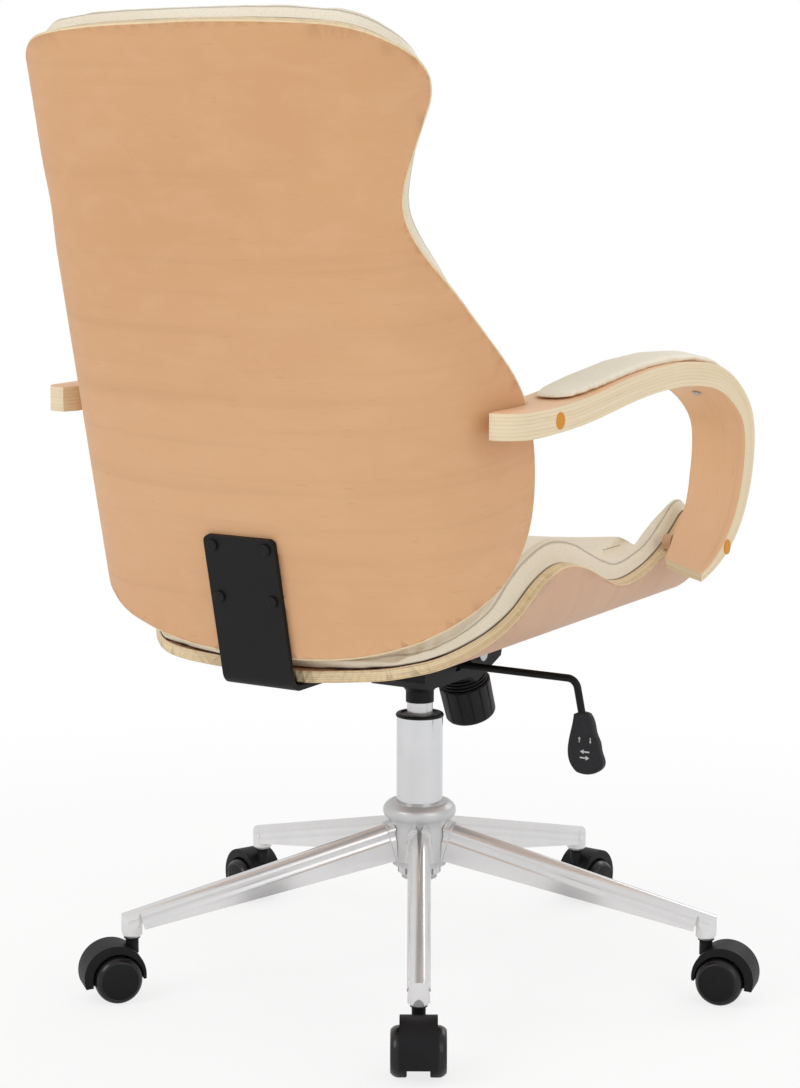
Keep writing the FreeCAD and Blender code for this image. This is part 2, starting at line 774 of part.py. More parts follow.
bind(pin_hole, **{"Placement.Base.x": -cell.housing_width, "Placement.Base.y": cell.tilt_pin_y,
                  "Placement.Base.z": cell.tilt_pin_z})
bush_room = cylinder("bush_room", cell.bush_radius + cell.running_gap, cell.bush_length + cell.seat_gap * 2)
bush_room.Placement = Placement(Vector(0, 0, 0), ACROSS)
bind(bush_room, **{"Placement.Base.x": cell.lever_x,
                   "Placement.Base.y": cell.lever_y - cell.bush_length / 2 - cell.seat_gap,
                   "Placement.Base.z": cell.lever_z})
rod_slot = box("rod_slot", cell.housing_width, cell.lever_radius * 2 + 2, cell.lever_slot * 2)
bind(rod_slot, **{"Placement.Base.x": cell.lever_x - cell.housing_width,
                  "Placement.Base.y": cell.lever_y - cell.lever_radius - 1,
                  "Placement.Base.z": cell.lever_z - cell.lever_slot})
rod_room = box("rod_room", cell.lever_inner - cell.lever_x + 4, cell.lever_radius * 2 + 2, cell.lever_slot * 2)
bind(rod_room, **{"Placement.Base.x": cell.lever_x, "Placement.Base.y": cell.lever_y - cell.lever_radius - 1,
                  "Placement.Base.z": cell.lever_z - cell.lever_slot})
housing = cut("mechanism_housing", housing_solid,
              fuse("housing_cuts", [piston_hole, pin_room, pin_hole, bush_room, rod_slot, rod_room]))
keep(housing, "mechanism_housing")

# Tilt pin with a washer head at each end.
pin_reach = cell.housing_width / 2 + cell.seat_gap + cell.ear_thickness + cell.seat_gap


def along_x(name, radius, length, x, y, z):
    item = cylinder(name, radius, length)
    item.Placement = Placement(Vector(0, 0, 0), Rotation(Vector(0, 1, 0), 90))
    bind(item, **{"Placement.Base.x": x, "Placement.Base.y": y, "Placement.Base.z": z})
    return item


pin_shank = along_x("tilt_pin_shank", cell.tilt_pin_radius, pin_reach * 2, -pin_reach,
                    cell.tilt_pin_y, cell.tilt_pin_z)
pin_head_left = along_x("tilt_pin_head_left", cell.tilt_head_radius, cell.tilt_head_height, pin_reach,
                        cell.tilt_pin_y, cell.tilt_pin_z)
pin_head_right = along_x("tilt_pin_head_right", cell.tilt_head_radius, cell.tilt_head_height,
                         -pin_reach - cell.tilt_head_height, cell.tilt_pin_y, cell.tilt_pin_z)
keep(fuse("tilt_pin", [pin_shank, pin_head_left, pin_head_right]), "tilt_pin")

# Ribbed spring cup under the housing, and the fluted tension knob below it.
knob_frame = Placement(knob_root, Rotation(Vector(1, 0, 0), -num.knob_lean))
RIBS = 5
cup_outline = [(0, cell.knob_height + cell.seat_gap)]
for rib in range(RIBS):
    share = rib / RIBS
    edge = cell.cup_radius - (cell.cup_radius - cell.cup_top_radius) * share
    level = cell.knob_height + cell.seat_gap + cell.cup_height * share
    cup_outline.append((edge - cell.cup_rib_depth, level))
    cup_outline.append((edge, level + cell.cup_height * (0.35 / RIBS)))
    cup_outline.append((edge, level + cell.cup_height * (0.65 / RIBS)))
cup_outline.append((cell.cup_top_radius - cell.cup_rib_depth, cell.knob_height + cell.seat_gap + cell.cup_height))
cup_outline.append((0, cell.knob_height + cell.seat_gap + cell.cup_height))
cup = turned("spring_cup", cup_outline)
cup.Placement = knob_frame
keep(cup, "spring_cup")

knob = turned("tension_knob", [
    (0, 0),
    (cell.knob_foot_radius - cell.knob_round, 0),
    (cell.knob_foot_radius, cell.knob_round, cell.knob_round),
    (cell.knob_radius, cell.knob_height - 1.5),
    (cell.knob_radius - 1.5, cell.knob_height),
    (0, cell.knob_height),
])
doc.recompute()
knob_plain = knob.Shape.Volume
flute = sketch_on(knob, "XY_Plane", [
    (cell.knob_radius + 6, -cell.flute_radius),
    (cell.knob_radius + 6, cell.flute_radius),
    (cell.knob_foot_radius, cell.flute_radius),
    (cell.knob_foot_radius, -cell.flute_radius, cell.flute_radius * 1.1),
])
groove = knob.newObject("PartDesign::Pocket", "tension_knob_groove")
groove.Profile = flute
groove.SideType = "Symmetric"
bind(groove, Length=cell.knob_height * 4)
flutes = knob.newObject("PartDesign::PolarPattern", "tension_knob_flutes")
flutes.Originals = [groove]
flutes.Axis = (flute, ["N_Axis"])
flutes.Angle = 360
flutes.Occurrences = int(num.flute_count)
knob.Tip = flutes
doc.recompute()
if knob.Shape.Volume >= knob_plain:
    raise ValueError("the flutes cut nothing from the tension knob")
knob.Placement = knob_frame
keep(knob, "tension_knob")

# Control lever: a pivoting bush in the housing, a bent rod that slides in it, and a paddle.
bush_body = cylinder("lever_bush_body", cell.bush_radius, cell.bush_length)
bush_body.Placement = Placement(Vector(0, 0, 0), ACROSS)
bind(bush_body, **{"Placement.Base.x": cell.lever_x, "Placement.Base.y": cell.lever_y - cell.bush_length / 2,
                   "Placement.Base.z": cell.lever_z})
bush_hole = along_x("lever_bush_hole", cell.lever_radius + cell.running_gap, cell.bush_radius * 4,
                    cell.lever_x - cell.bush_radius * 2, cell.lever_y, cell.lever_z)
keep(cut("lever_bush", bush_body, bush_hole), "lever_bush")


def bent_rod(points, radius, bend):
    edges = []
    start = points[0]
    for index in range(1, len(points) - 1):
        before = (points[index - 1] - points[index]).normalize()
        after = (points[index + 1] - points[index]).normalize()
        turn = math.pi - before.getAngle(after)
        reach = bend * math.tan(turn / 2)
        first = points[index] + before * reach
        last = points[index] + after * reach
        middle_way = (before + after).normalize()
        middle = points[index] + middle_way * (bend / math.cos(turn / 2) - bend)
        edges.append(Part.makeLine(start, first))
        edges.append(Part.Arc(first, middle, last).toShape())
        start = last
    edges.append(Part.makeLine(start, points[-1]))
    path = Part.Wire(edges)
    circle = Part.Wire([Part.makeCircle(radius, points[0], points[1] - points[0])])
    return path.makePipeShell([circle], True, False)


foot = Vector(num.lever_foot_x, num.lever_y, num.lever_foot_z)
rod = bent_rod([
    Vector(num.lever_inner, num.lever_y, num.lever_z),
    Vector(num.lever_bend, num.lever_y, num.lever_z),
    foot,
], num.lever_radius, num.lever_bend_radius)
keep(feature("lever_rod", rod), "lever_rod")


# The paddle is a flat moulding: narrow at the rod, wide near its foot, with a waved grip edge.
def paddle_shape():
    drop = num.paddle_top - num.paddle_bottom
    wide = num.paddle_wide_half
    top = num.paddle_top_half
    side = [
        (top, 0.0), (top + 6.0, -drop * 0.3), (wide, -num.paddle_wide_drop),
        (wide - 8.0, -drop + 1.5),
    ]
    right = Part.BSplineCurve()
    right.interpolate([Vector(x, 0, z) for x, z in side])
    left = Part.BSplineCurve()
    grip = [
        (-top, 0.0), (-top - 4.5, -drop * 0.2), (-top - 5.5, -drop * 0.34), (-top - 8.6, -drop * 0.5),
        (-wide + 2.2, -drop * 0.64), (-wide, -num.paddle_wide_drop - 4.0), (-wide + 9.0, -drop + 0.5),
    ]
    left.interpolate([Vector(x, 0, z) for x, z in grip])
    top_arc = Part.Arc(Vector(-top, 0, 0), Vector(0, 0, 2.0), Vector(top, 0, 0))
    low = Part.Arc(Vector(wide - 8.0, 0, -drop + 1.5), Vector(0, 0, -drop - 1.5), Vector(-wide + 9.0, 0, -drop + 0.5))
    wire = Part.Wire(Part.__sortEdges__([right.toShape(), left.toShape(), top_arc.toShape(), low.toShape()]))
    blank = Part.Face(wire).extrude(Vector(0, num.paddle_thickness, 0))
    blank.translate(Vector(0, -num.paddle_thickness / 2, 0))
    rims = [edge for edge in blank.Edges if abs(edge.BoundBox.YLength) < 0.01]
    return blank.makeFillet(min(2.2, num.paddle_thickness * 0.3), rims)


paddle = paddle_shape()
rod_way = (foot - Vector(num.lever_bend, num.lever_y, num.lever_z)).normalize()
paddle_frame = Placement(
    Vector(num.lever_foot_x + num.paddle_shift * 0.3, num.lever_y, num.paddle_top),
    Rotation(Vector(0, 1, 0), num.paddle_lean),
)
paddle.Placement = paddle_frame
rod_clear = bent_rod([
    Vector(num.lever_bend + 60.0, num.lever_y, num.lever_z),
    Vector(num.lever_bend, num.lever_y, num.lever_z),
    foot + rod_way * num.running_gap,
], num.lever_radius + num.running_gap, num.lever_bend_radius)
keep(feature("lever_paddle", paddle.cut(rod_clear)), "lever_paddle")


# Bent plywood. A shell is one sheet bent about parallel lines: a wide middle curve, a
# tighter bend each side and a straight wall. Its edge is cut from the sheet laid flat.
def bent_point(kind, out, depth):
    centre_radius, centre_half, bend_radius, wall = kind
    side = 1.0 if out >= 0 else -1.0
    reach = abs(out)
    first = centre_half / centre_radius
    last = math.radians(wall)
    bend_end = centre_half + bend_radius * (last - first)
    angle = reach / centre_radius
    x = centre_radius * math.sin(min(angle, first))
    rise = centre_radius * (1 - math.cos(min(angle, first)))
    if reach > centre_half:
        angle = first + min(reach - centre_half, bend_end - centre_half) / bend_radius
        x += bend_radius * (math.sin(angle) - math.sin(first))
        rise += bend_radius * (math.cos(first) - math.cos(angle))
    if reach > bend_end:
        x += (reach - bend_end) * math.cos(last)
        rise += (reach - bend_end) * math.sin(last)
    x -= depth * math.sin(angle)
    rise += depth * math.cos(angle)
    return side * x, rise


SEAT = (num.seat_centre_radius, num.seat_centre_half, num.seat_bend_radius, num.seat_wall_angle)
BACK = (num.back_centre_radius, num.back_centre_half, num.back_bend_radius, num.back_wing_angle)

# In its own frame the back rises along +Z and its hollow faces -Y; the seat runs along +Y
# and its hollow faces +Z.
UPRIGHT = lambda x, rise: Vector(x, -rise, 0)
LEVEL = lambda x, rise: Vector(x, 0, rise)
seat_frame = Placement(Vector(0, 0, num.seat_level), Rotation(Vector(1, 0, 0), -num.seat_rise))
back_frame = Placement(Vector(0, num.back_hinge_y, num.back_hinge_z), Rotation(Vector(1, 0, 0), -num.back_recline))


def bent_surface(kind, turn, way, depth, reach):
    steps = 64
    outs = [-reach + 2 * reach * step / steps for step in range(steps + 1)]
    curve = Part.BSplineCurve()
    curve.interpolate(Points=[turn(*bent_point(kind, out, depth)) for out in outs], Parameters=outs)
    return Part.SurfaceOfExtrusion(curve, way)


def flat_outline(half, grow):
    loop = list(half) + [(-out, along) for out, along in half[1:-1]][::-1]
    middle = sum(along for out, along in loop) / len(loop)
    points = []
    for out, along in loop:
        away = Vector(out, along - middle, 0)
        away = away.normalize() * grow if away.Length else away
        points.append(FreeCAD.Base.Vector2d(out + away.x, along + away.y))
    curve = Part.Geom2d.BSplineCurve2d()
    curve.interpolate(Points=points, PeriodicFlag=True)
    return curve


def bent_sheet(kind, turn, way, half, outer, inner, grow=0.0):
    outline = flat_outline(half, grow)
    reach = max(out for out, along in half) + 25.0
    outer_surface = bent_surface(kind, turn, way, outer, reach)
    inner_surface = bent_surface(kind, turn, way, inner, reach)
    outer_edge = outline.toShape(outer_surface)
    inner_edge = outline.toShape(inner_surface)
    faces = [
        Part.Face(outer_surface, Part.Wire([outer_edge])),
        Part.Face(inner_surface, Part.Wire([inner_edge])),
        Part.makeRuledSurface(outer_edge, inner_edge),
    ]
    joined = Part.Compound(faces)
    joined.sewShape()
    solid = Part.Solid(joined.Shells[0])
    if solid.Volume < 0:
        solid.reverse()
    return solid


def edge_of(name, count):
    return [
        (getattr(num, f"{name}_edge_out_{index}"), getattr(num, f"{name}_edge_along_{index}"))
        for index in range(1, count + 1)
    ]


back_edge = edge_of("back", len(BACK_EDGE))
seat_edge = edge_of("seat", len(SEAT_EDGE))


def drilled(shape, frame, holes):
    for spot, way, radius, depth in holes:
        shape = shape.cut(Part.makeCylinder(radius, depth, spot, way))
    return shape


# Screws and bolts are set along the normal of the sheet that they enter.
def strap_screw_spots():
    spots = []
    for side in (1, -1):
        for down in (0.0, num.strap_screw_along):
            out = side * num.strap_screw_across / 2
            spots.append(Vector(out, num.strap_thickness + num.seat_gap, num.strap_screw_upper - down))
    return spots


screw_spots = strap_screw_spots()
screw_reach = num.strap_thickness + num.seat_gap + num.screw_bite
back_sheet = bent_sheet(BACK, UPRIGHT, Vector(0, 0, 1), back_edge, 0.0, num.back_ply)
for spot in screw_spots:
    start = spot + Vector(0, 1, 0)
    back_sheet = back_sheet.cut(
        Part.makeCylinder(num.screw_radius + num.running_gap, screw_reach + 1.5, start, Vector(0, -1, 0))
    )


def seat_bolt_lines():
    lines = []
    centre = Vector(0, 0, num.seat_centre_radius)
    for side in (1, -1):
        for along in (num.bolt_front, num.bolt_rear):
            angle = side * num.bolt_across / num.seat_centre_radius
            way = Vector(-math.sin(angle), 0, math.cos(angle))
            foot_radius = num.seat_centre_radius + num.seat_gap + num.plate_thickness + num.running_gap
            start = Vector(0, along, centre.z) - way * foot_radius
            lines.append((start, way))
    return lines


bolt_lines = seat_bolt_lines()
bolt_reach = num.plate_thickness + num.seat_gap + num.bolt_bite
seat_sheet = bent_sheet(SEAT, LEVEL, Vector(0, 1, 0), seat_edge, 0.0, num.seat_ply)
for start, way in bolt_lines:
    seat_sheet = seat_sheet.cut(
        Part.makeCylinder(num.bolt_radius + num.running_gap, bolt_reach + 0.5, start, way)
    )

# Arms: thick bent strips, scribed to the wings of the back and the walls of the seat. Their
# places across come from the wall of the seat and the wing of the back that they hold.
def turned_reach(kind):
    first = kind[1] / kind[0]
    return kind[1] + kind[2] * (math.radians(kind[3]) - first)


num.arm_inner = bent_point(SEAT, turned_reach(SEAT), 0.0)[0] + num.arm_stand
num.arm_outer = num.arm_inner + num.arm_width
num.arm_lap = bent_point(BACK, turned_reach(BACK), 0.0)[0] + num.arm_lap_gap
arm_land = num.arm_outer - num.arm_lap
arm_path = [
    (getattr(num, f"arm_path_rear_{index}"), getattr(num, f"arm_path_up_{index}"),
     getattr(num, f"arm_path_half_{index}"))
    for index in range(1, len(ARM_PATH) + 1)
]


def arm_line(side, extra=0.0):
    points = []
    for index, (rearward, up, half) in enumerate(arm_path):
        before = arm_path[max(index - 1, 0)]
        after = arm_path[min(index + 1, len(arm_path) - 1)]
        way = Vector(0, after[0] - before[0], after[1] - before[1]).normalize()
        normal = Vector(0, way.z, -way.y)
        points.append(Vector(0, rearward, up) + normal * (half + extra) * side)
    return points


def arm_strip(extra):
    top = Part.BSplineCurve()
    top.interpolate(arm_line(1.0, extra))
    under = Part.BSplineCurve()
    under.interpolate(arm_line(-1.0))
    edges = [
        top.toShape(), under.toShape(),
        Part.makeLine(top.StartPoint, under.StartPoint),
        Part.makeLine(top.EndPoint, under.EndPoint),
    ]
    profile = Part.Face(Part.Wire(Part.__sortEdges__(edges)))
    return profile.extrude(Vector(num.arm_outer, 0, 0))


def arm_blank():
    strip = arm_strip(0.0)
    front = -400.0
    tip = num.arm_tip
    outer = num.arm_outer
    bend = arm_land * 0.75
    tip_flat = num.arm_lap + arm_land * 0.13
    lap = num.arm_lap
    step = (num.arm_step_front + num.arm_step_rear) / 2
    middle_x = (num.arm_inner + lap) / 2
    way = num.arm_step_rear - num.arm_step_front
    rise = lap - num.arm_inner
    edges = [
        Part.makeLine(Vector(num.arm_inner, front, 0), Vector(outer, front, 0)),
        Part.makeLine(Vector(outer, front, 0), Vector(outer, tip - bend, 0)),
        Part.Arc(
            Vector(outer, tip - bend, 0),
            Vector(outer - bend * 0.293, tip - bend * 0.293, 0),
            Vector(outer - bend, tip, 0),
        ).toShape(),
        Part.makeLine(Vector(outer - bend, tip, 0), Vector(tip_flat, tip, 0)),
        Part.makeLine(Vector(tip_flat, tip, 0), Vector(lap, tip - 18.0, 0)),
        Part.makeLine(Vector(lap, tip - 18.0, 0), Vector(lap, num.arm_step_rear, 0)),
        Part.Arc(
            Vector(lap, num.arm_step_rear, 0),
            Vector(lap - rise * 0.16, step + way * 0.22, 0),
            Vector(middle_x, step, 0),
        ).toShape(),
        Part.Arc(
            Vector(middle_x, step, 0),
            Vector(num.arm_inner + rise * 0.16, step - way * 0.22, 0),
            Vector(num.arm_inner, num.arm_step_front, 0),
        ).toShape(),
        Part.makeLine(Vector(num.arm_inner, num.arm_step_front, 0), Vector(num.arm_inner, front, 0)),
    ]
    plan = Part.Face(Part.Wire(edges)).extrude(Vector(0, 0, 1000))
    return strip.common(plan)


def scribing_block():
    top = num.arm_scribe_top - num.seat_level
    kind = SEAT
    gap = -num.seat_gap
    wall_top = 124.0
    bend_end = num.seat_centre_half + num.seat_bend_radius * (
        math.radians(num.seat_wall_angle) - num.seat_centre_half / num.seat_centre_radius
    )
    wall = LEVEL(*bent_point(kind, bend_end, gap))
    slope = math.radians(num.seat_wall_angle)
    far = wall + Vector(math.cos(slope), 0, math.sin(slope)) * ((wall_top - wall.z) / math.sin(slope))
    bend_start = LEVEL(*bent_point(kind, num.seat_centre_half, gap))
    bend_middle = LEVEL(*bent_point(kind, (num.seat_centre_half + bend_end) / 2, gap))
    edges = [
        Part.makeLine(Vector(0, 0, 0), bend_start),
        Part.Arc(bend_start, bend_middle, wall).toShape(),
        Part.makeLine(wall, far),
        Part.makeLine(far, Vector(num.arm_inner - 0.5, 0, top)),
        Part.makeLine(Vector(num.arm_inner - 0.5, 0, top), Vector(0, 0, top)),
        Part.makeLine(Vector(0, 0, top), Vector(0, 0, 0)),
    ]
    block = Part.Face(Part.Wire(edges)).extrude(Vector(0, 800, 0))
    block.translate(Vector(0, -400, 0))
    block.Placement = seat_frame.multiply(block.Placement)
    return block


def arm_holes(rearward, up, grow):
    spots = []
    plug = num.plug_radius + grow
    outer = num.arm_outer
    spots.append(Part.makeCylinder(plug, num.plug_depth + 1, Vector(outer + 1, rearward, up), Vector(-1, 0, 0)))
    head_start = outer - num.plug_depth
    spots.append(Part.makeCylinder(
        plug, num.arm_bolt_head_depth, Vector(head_start, rearward, up), Vector(-1, 0, 0)
    ))
    spots.append(Part.makeCylinder(num.bolt_radius + grow, 90.0, Vector(head_start, rearward, up), Vector(-1, 0, 0)))
    return spots


arm_spots = [(num.arm_bolt_y, num.arm_bolt_z), (num.foot_bolt_y, num.foot_bolt_z)]
back_clear = bent_sheet(
    BACK, UPRIGHT, Vector(0, 0, 1), back_edge, -num.seat_gap, num.back_ply + num.seat_gap, num.seat_gap * 2
)
back_clear.Placement = back_frame


# The foot is cut off at a slant, and its inner edge runs outward below the seat's wall.
def foot_trim():
    inner = num.arm_inner
    outer = num.arm_outer
    slant = (num.foot_end_outer - num.foot_end_inner) / (outer - inner)
    plan = [
        Vector(inner - 40.0, num.foot_end_inner - slant * 40.0, 0),
        Vector(outer + 10.0, num.foot_end_outer + slant * 10.0, 0),
        Vector(outer + 10.0, 120.0, 0),
        Vector(inner - 40.0, 120.0, 0),
    ]
    end = Part.Face(Part.makePolygon(plan + plan[:1])).extrude(Vector(0, 0, num.foot_inner_top))
    side = [
        Vector(inner - 40.0, 0, num.foot_inner_level - 60.0), Vector(num.foot_inner, 0, num.foot_inner_level - 60.0),
        Vector(num.foot_inner, 0, num.foot_inner_level), Vector(inner - 1.0, 0, num.foot_inner_top),
        Vector(inner - 40.0, 0, num.foot_inner_top),
    ]
    edge = Part.Face(Part.makePolygon(side + side[:1])).extrude(Vector(0, -600.0, 0))
    return end.fuse(edge)


arm_form = arm_blank()
arm = arm_form.cut(back_clear).cut(scribing_block()).cut(foot_trim())
for rearward, up in arm_spots:
    for hole in arm_holes(rearward, up, num.running_gap):
        arm = arm.cut(hole)
arm = max(arm.Solids, key=lambda solid: solid.Volume)
MIRROR = lambda shape: shape.mirror(Vector(0, 0, 0), Vector(1, 0, 0))
keep(feature("arm_left", arm), "arm_left")
keep(feature("arm_right", MIRROR(arm)), "arm_right")

# Bolts reach from a counterbore in the arm into the shell, and a turned plug closes it.
wing_x = bent_point(BACK, 320.0, 0.0)[0]
wall_x = bent_point(SEAT, 268.0, 0.0)[0]
bolts = []
plugs = []
for (rearward, up), shell_x in zip(arm_spots, (wing_x, wall_x)):
    head_x = num.arm_outer - num.plug_depth - 0.3
    reach = head_x - shell_x + num.arm_bolt_bite
    head = Part.makeCylinder(
        num.arm_bolt_head_radius, num.arm_bolt_head_depth - 0.6, Vector(head_x, rearward, up), Vector(-1, 0, 0)
    )
    shank = Part.makeCylinder(num.bolt_radius, reach, Vector(head_x, rearward, up), Vector(-1, 0, 0))
    bolts.append(head.fuse(shank).removeSplitter())
    plugs.append(Part.makeCylinder(num.plug_radius, num.plug_depth, Vector(num.arm_outer, rearward, up),
                                   Vector(-1, 0, 0)))
keep(feature("arm_bolts", Part.Compound(bolts + [MIRROR(item) for item in bolts])), "arm_bolts")
keep(feature("arm_plugs", Part.Compound(plugs + [MIRROR(item) for item in plugs])), "arm_plugs")


def shell_with_arm_holes(sheet_shape, frame, rearward, up, inner_x):
    for side in (1, -1):
        hole = Part.makeCylinder(
            num.bolt_radius + num.running_gap, 400.0 - inner_x, Vector(side * inner_x, rearward, up),
            Vector(side, 0, 0),
        )
        hole.Placement = frame.inverse().multiply(hole.Placement)
        sheet_shape = sheet_shape.cut(hole)
    return sheet_shape


back_sheet = shell_with_arm_holes(back_sheet, back_frame, num.arm_bolt_y, num.arm_bolt_z,
                                  wing_x - num.arm_bolt_bite - 0.5)
seat_sheet = shell_with_arm_holes(seat_sheet, seat_frame, num.foot_bolt_y, num.foot_bolt_z,
                                  wall_x - num.arm_bolt_bite - 0.5)
keep(feature("back_shell", back_sheet, back_frame), "back_shell")
keep(feature("seat_shell", seat_sheet, seat_frame), "seat_shell")


# Arm pads: a low cushion along the top of each arm, rounded at both ends.
def pad_shape():
    top = Part.BSplineCurve()
    top.interpolate(arm_line(1.0))
    length = top.length()
    start = top.parameterAtDistance(0.0)
    spots = []
    for step in range(201):
        at = top.parameterAtDistance(length * step / 200.0, start)
        point = top.value(at)
        way = top.tangent(at)[0]
        spots.append((point, Vector(0, way.y, way.z).normalize()))
    first = min(range(201), key=lambda step: abs(spots[step][0].y - num.pad_rear))
    front = [step for step in range(first, 201) if spots[step][0].z < num.arm_path_up_8 + 2.0]
    last = front[0]
    middle = (num.arm_outer + num.arm_inner) / 2
    shares = [0.0, 0.03, 0.09, 0.2, 0.38, 0.54, 0.68, 0.8, 0.9, 0.96, 1.0]
    sizes = [(0.42, 0.3), (0.74, 0.66), (0.94, 0.92), (1.0, 1.0), (1.0, 1.0), (1.0, 1.0), (1.0, 1.0),
             (1.0, 1.0), (0.97, 0.94), (0.84, 0.7), (0.6, 0.3)]
    wires = []
    for share, (wide, high) in zip(shares, sizes):
        point, way = spots[round(first + (last - first) * share)]
        normal = Vector(0, way.z, -way.y)
        base = Vector(middle, point.y, point.z) + normal * num.soft_gap
        sunk = base - normal * 4.0
        half = num.pad_half * wide
        tall = num.pad_height * high
        corners = [
            sunk + Vector(half, 0, 0), base + Vector(half, 0, 0) + normal * tall * 0.45,
            base + Vector(-half, 0, 0) + normal * tall * 0.45, sunk + Vector(-half, 0, 0),
        ]
        crown = Part.Arc(corners[1], base + normal * tall, corners[2]).toShape()
        wires.append(Part.Wire([
            Part.makeLine(corners[3], corners[0]), Part.makeLine(corners[0], corners[1]), crown,
            Part.makeLine(corners[2], corners[3]),
        ]))
    blank = Part.makeLoft(wires, True, True).cut(arm_strip(num.soft_gap))
    return max(blank.Solids, key=lambda solid: solid.Volume)


pad = pad_shape()
keep(feature("arm_pad_left", pad), "arm_pad_left")
keep(feature("arm_pad_right", MIRROR(pad)), "arm_pad_right")


# Pad screws come up through the underside of each arm, one behind and one near the bend.
def pad_screws():
    under = Part.BSplineCurve()
    under.interpolate(arm_line(-1.0))
    length = under.length()
    start = under.parameterAtDistance(0.0)
    found = []
    middle = (num.arm_outer + num.arm_inner) / 2
    for y in (110.0, -150.0):
        best = None
        for step in range(401):
            at = under.parameterAtDistance(length * step / 400.0, start)
            point = under.value(at)
            if point.z > 600.0 and (best is None or abs(point.y - y) < abs(best[0].y - y)):
                best = (point, under.tangent(at)[0])
        point, way = best
        normal = Vector(0, -way.z, way.y).normalize()
        base = Vector(middle, point.y, point.z) + normal * num.seat_gap
        head = Part.makeCylinder(num.pad_screw_radius, num.pad_screw_height, base, normal)
        found.append(head)
    return found


heads = pad_screws()
keep(feature("pad_screws", Part.Compound(heads + [MIRROR(item) for item in heads])), "pad_screws")


# Steel bracket: one wide strap that follows the back and turns forward under the seat.
def strap_shape():
    gap = num.seat_gap
    thick = num.strap_thickness
    back_way = back_frame.Rotation.multVec(Vector(0, 0, 1))
    back_out = back_frame.Rotation.multVec(Vector(0, 1, 0))
    seat_way = seat_frame.Rotation.multVec(Vector(0, 1, 0))
    seat_up = seat_frame.Rotation.multVec(Vector(0, 0, 1))
    upper = back_frame.Base + back_way * num.strap_top + back_out * gap
    front = seat_frame.Base + seat_way * num.strap_front - seat_up * gap

    def corner(shift):
        one = upper + back_out * shift
        two = front - seat_up * shift
        # The two straight runs meet where one + back_way * a = two + seat_way * b.
        across_way = back_way.y * seat_way.z - back_way.z * seat_way.y
        delta = two - one
        along = (delta.y * seat_way.z - delta.z * seat_way.y) / across_way
        return one, one + back_way * along, two

    edges = []
    ends = []
    for shift, bend in ((0.0, num.strap_bend), (thick, num.strap_bend + thick)):
        one, knee, two = corner(shift)
        turn = math.pi - (one - knee).getAngle(two - knee)
        reach = bend * math.tan(turn / 2)
        first = knee + (one - knee).normalize() * reach
        last = knee + (two - knee).normalize() * reach
        inward = ((one - knee).normalize() + (two - knee).normalize()).normalize()
        middle = knee + inward * (bend / math.cos(turn / 2) - bend)
        edges += [
            Part.makeLine(one, first), Part.Arc(first, middle, last).toShape(), Part.makeLine(last, two),
        ]
        ends.append((one, two))
    edges.append(Part.makeLine(ends[0][0], ends[1][0]))
    edges.append(Part.makeLine(ends[0][1], ends[1][1]))
    face = Part.Face(Part.Wire(Part.__sortEdges__(edges)))
    strap = face.extrude(Vector(num.strap_width, 0, 0))
    strap.translate(Vector(-num.strap_width / 2, 0, 0))
    corners = []
    for edge in strap.Edges:
        box_now = edge.BoundBox
        at_side = box_now.XLength < 0.01 and abs(abs(box_now.XMin) - num.strap_width / 2) < 0.01
        if at_side and abs(edge.Length - thick) < 0.01:
            corners.append(edge)
    return strap.makeFillet(num.strap_corner, corners)


strap = strap_shape()
for spot in screw_spots:
    hole = Part.makeCylinder(num.screw_radius + num.running_gap, 20.0, spot + Vector(0, 5, 0), Vector(0, -1, 0))
    hole.Placement = back_frame.multiply(hole.Placement)
    strap = strap.cut(hole)
keep(feature("back_bracket", strap), "back_bracket")

# Pan head screws hold the strap to the back.
screws = []
for spot in screw_spots:
    base = spot + Vector(0, num.running_gap, 0)
    head = Part.makeCylinder(num.screw_head_radius, num.screw_head_height, base, Vector(0, 1, 0))
    rim = [edge for edge in head.Edges if edge.BoundBox.YLength < 0.01 and edge.BoundBox.YMin > base.y + 1]
    head = head.makeFillet(num.screw_head_height * 0.6, rim)
    shank = Part.makeCylinder(num.screw_radius, screw_reach, base, Vector(0, -1, 0))
    screws.append(head.fuse(shank).removeSplitter())
keep(feature("bracket_screws", Part.Compound(screws), back_frame), "bracket_screws")


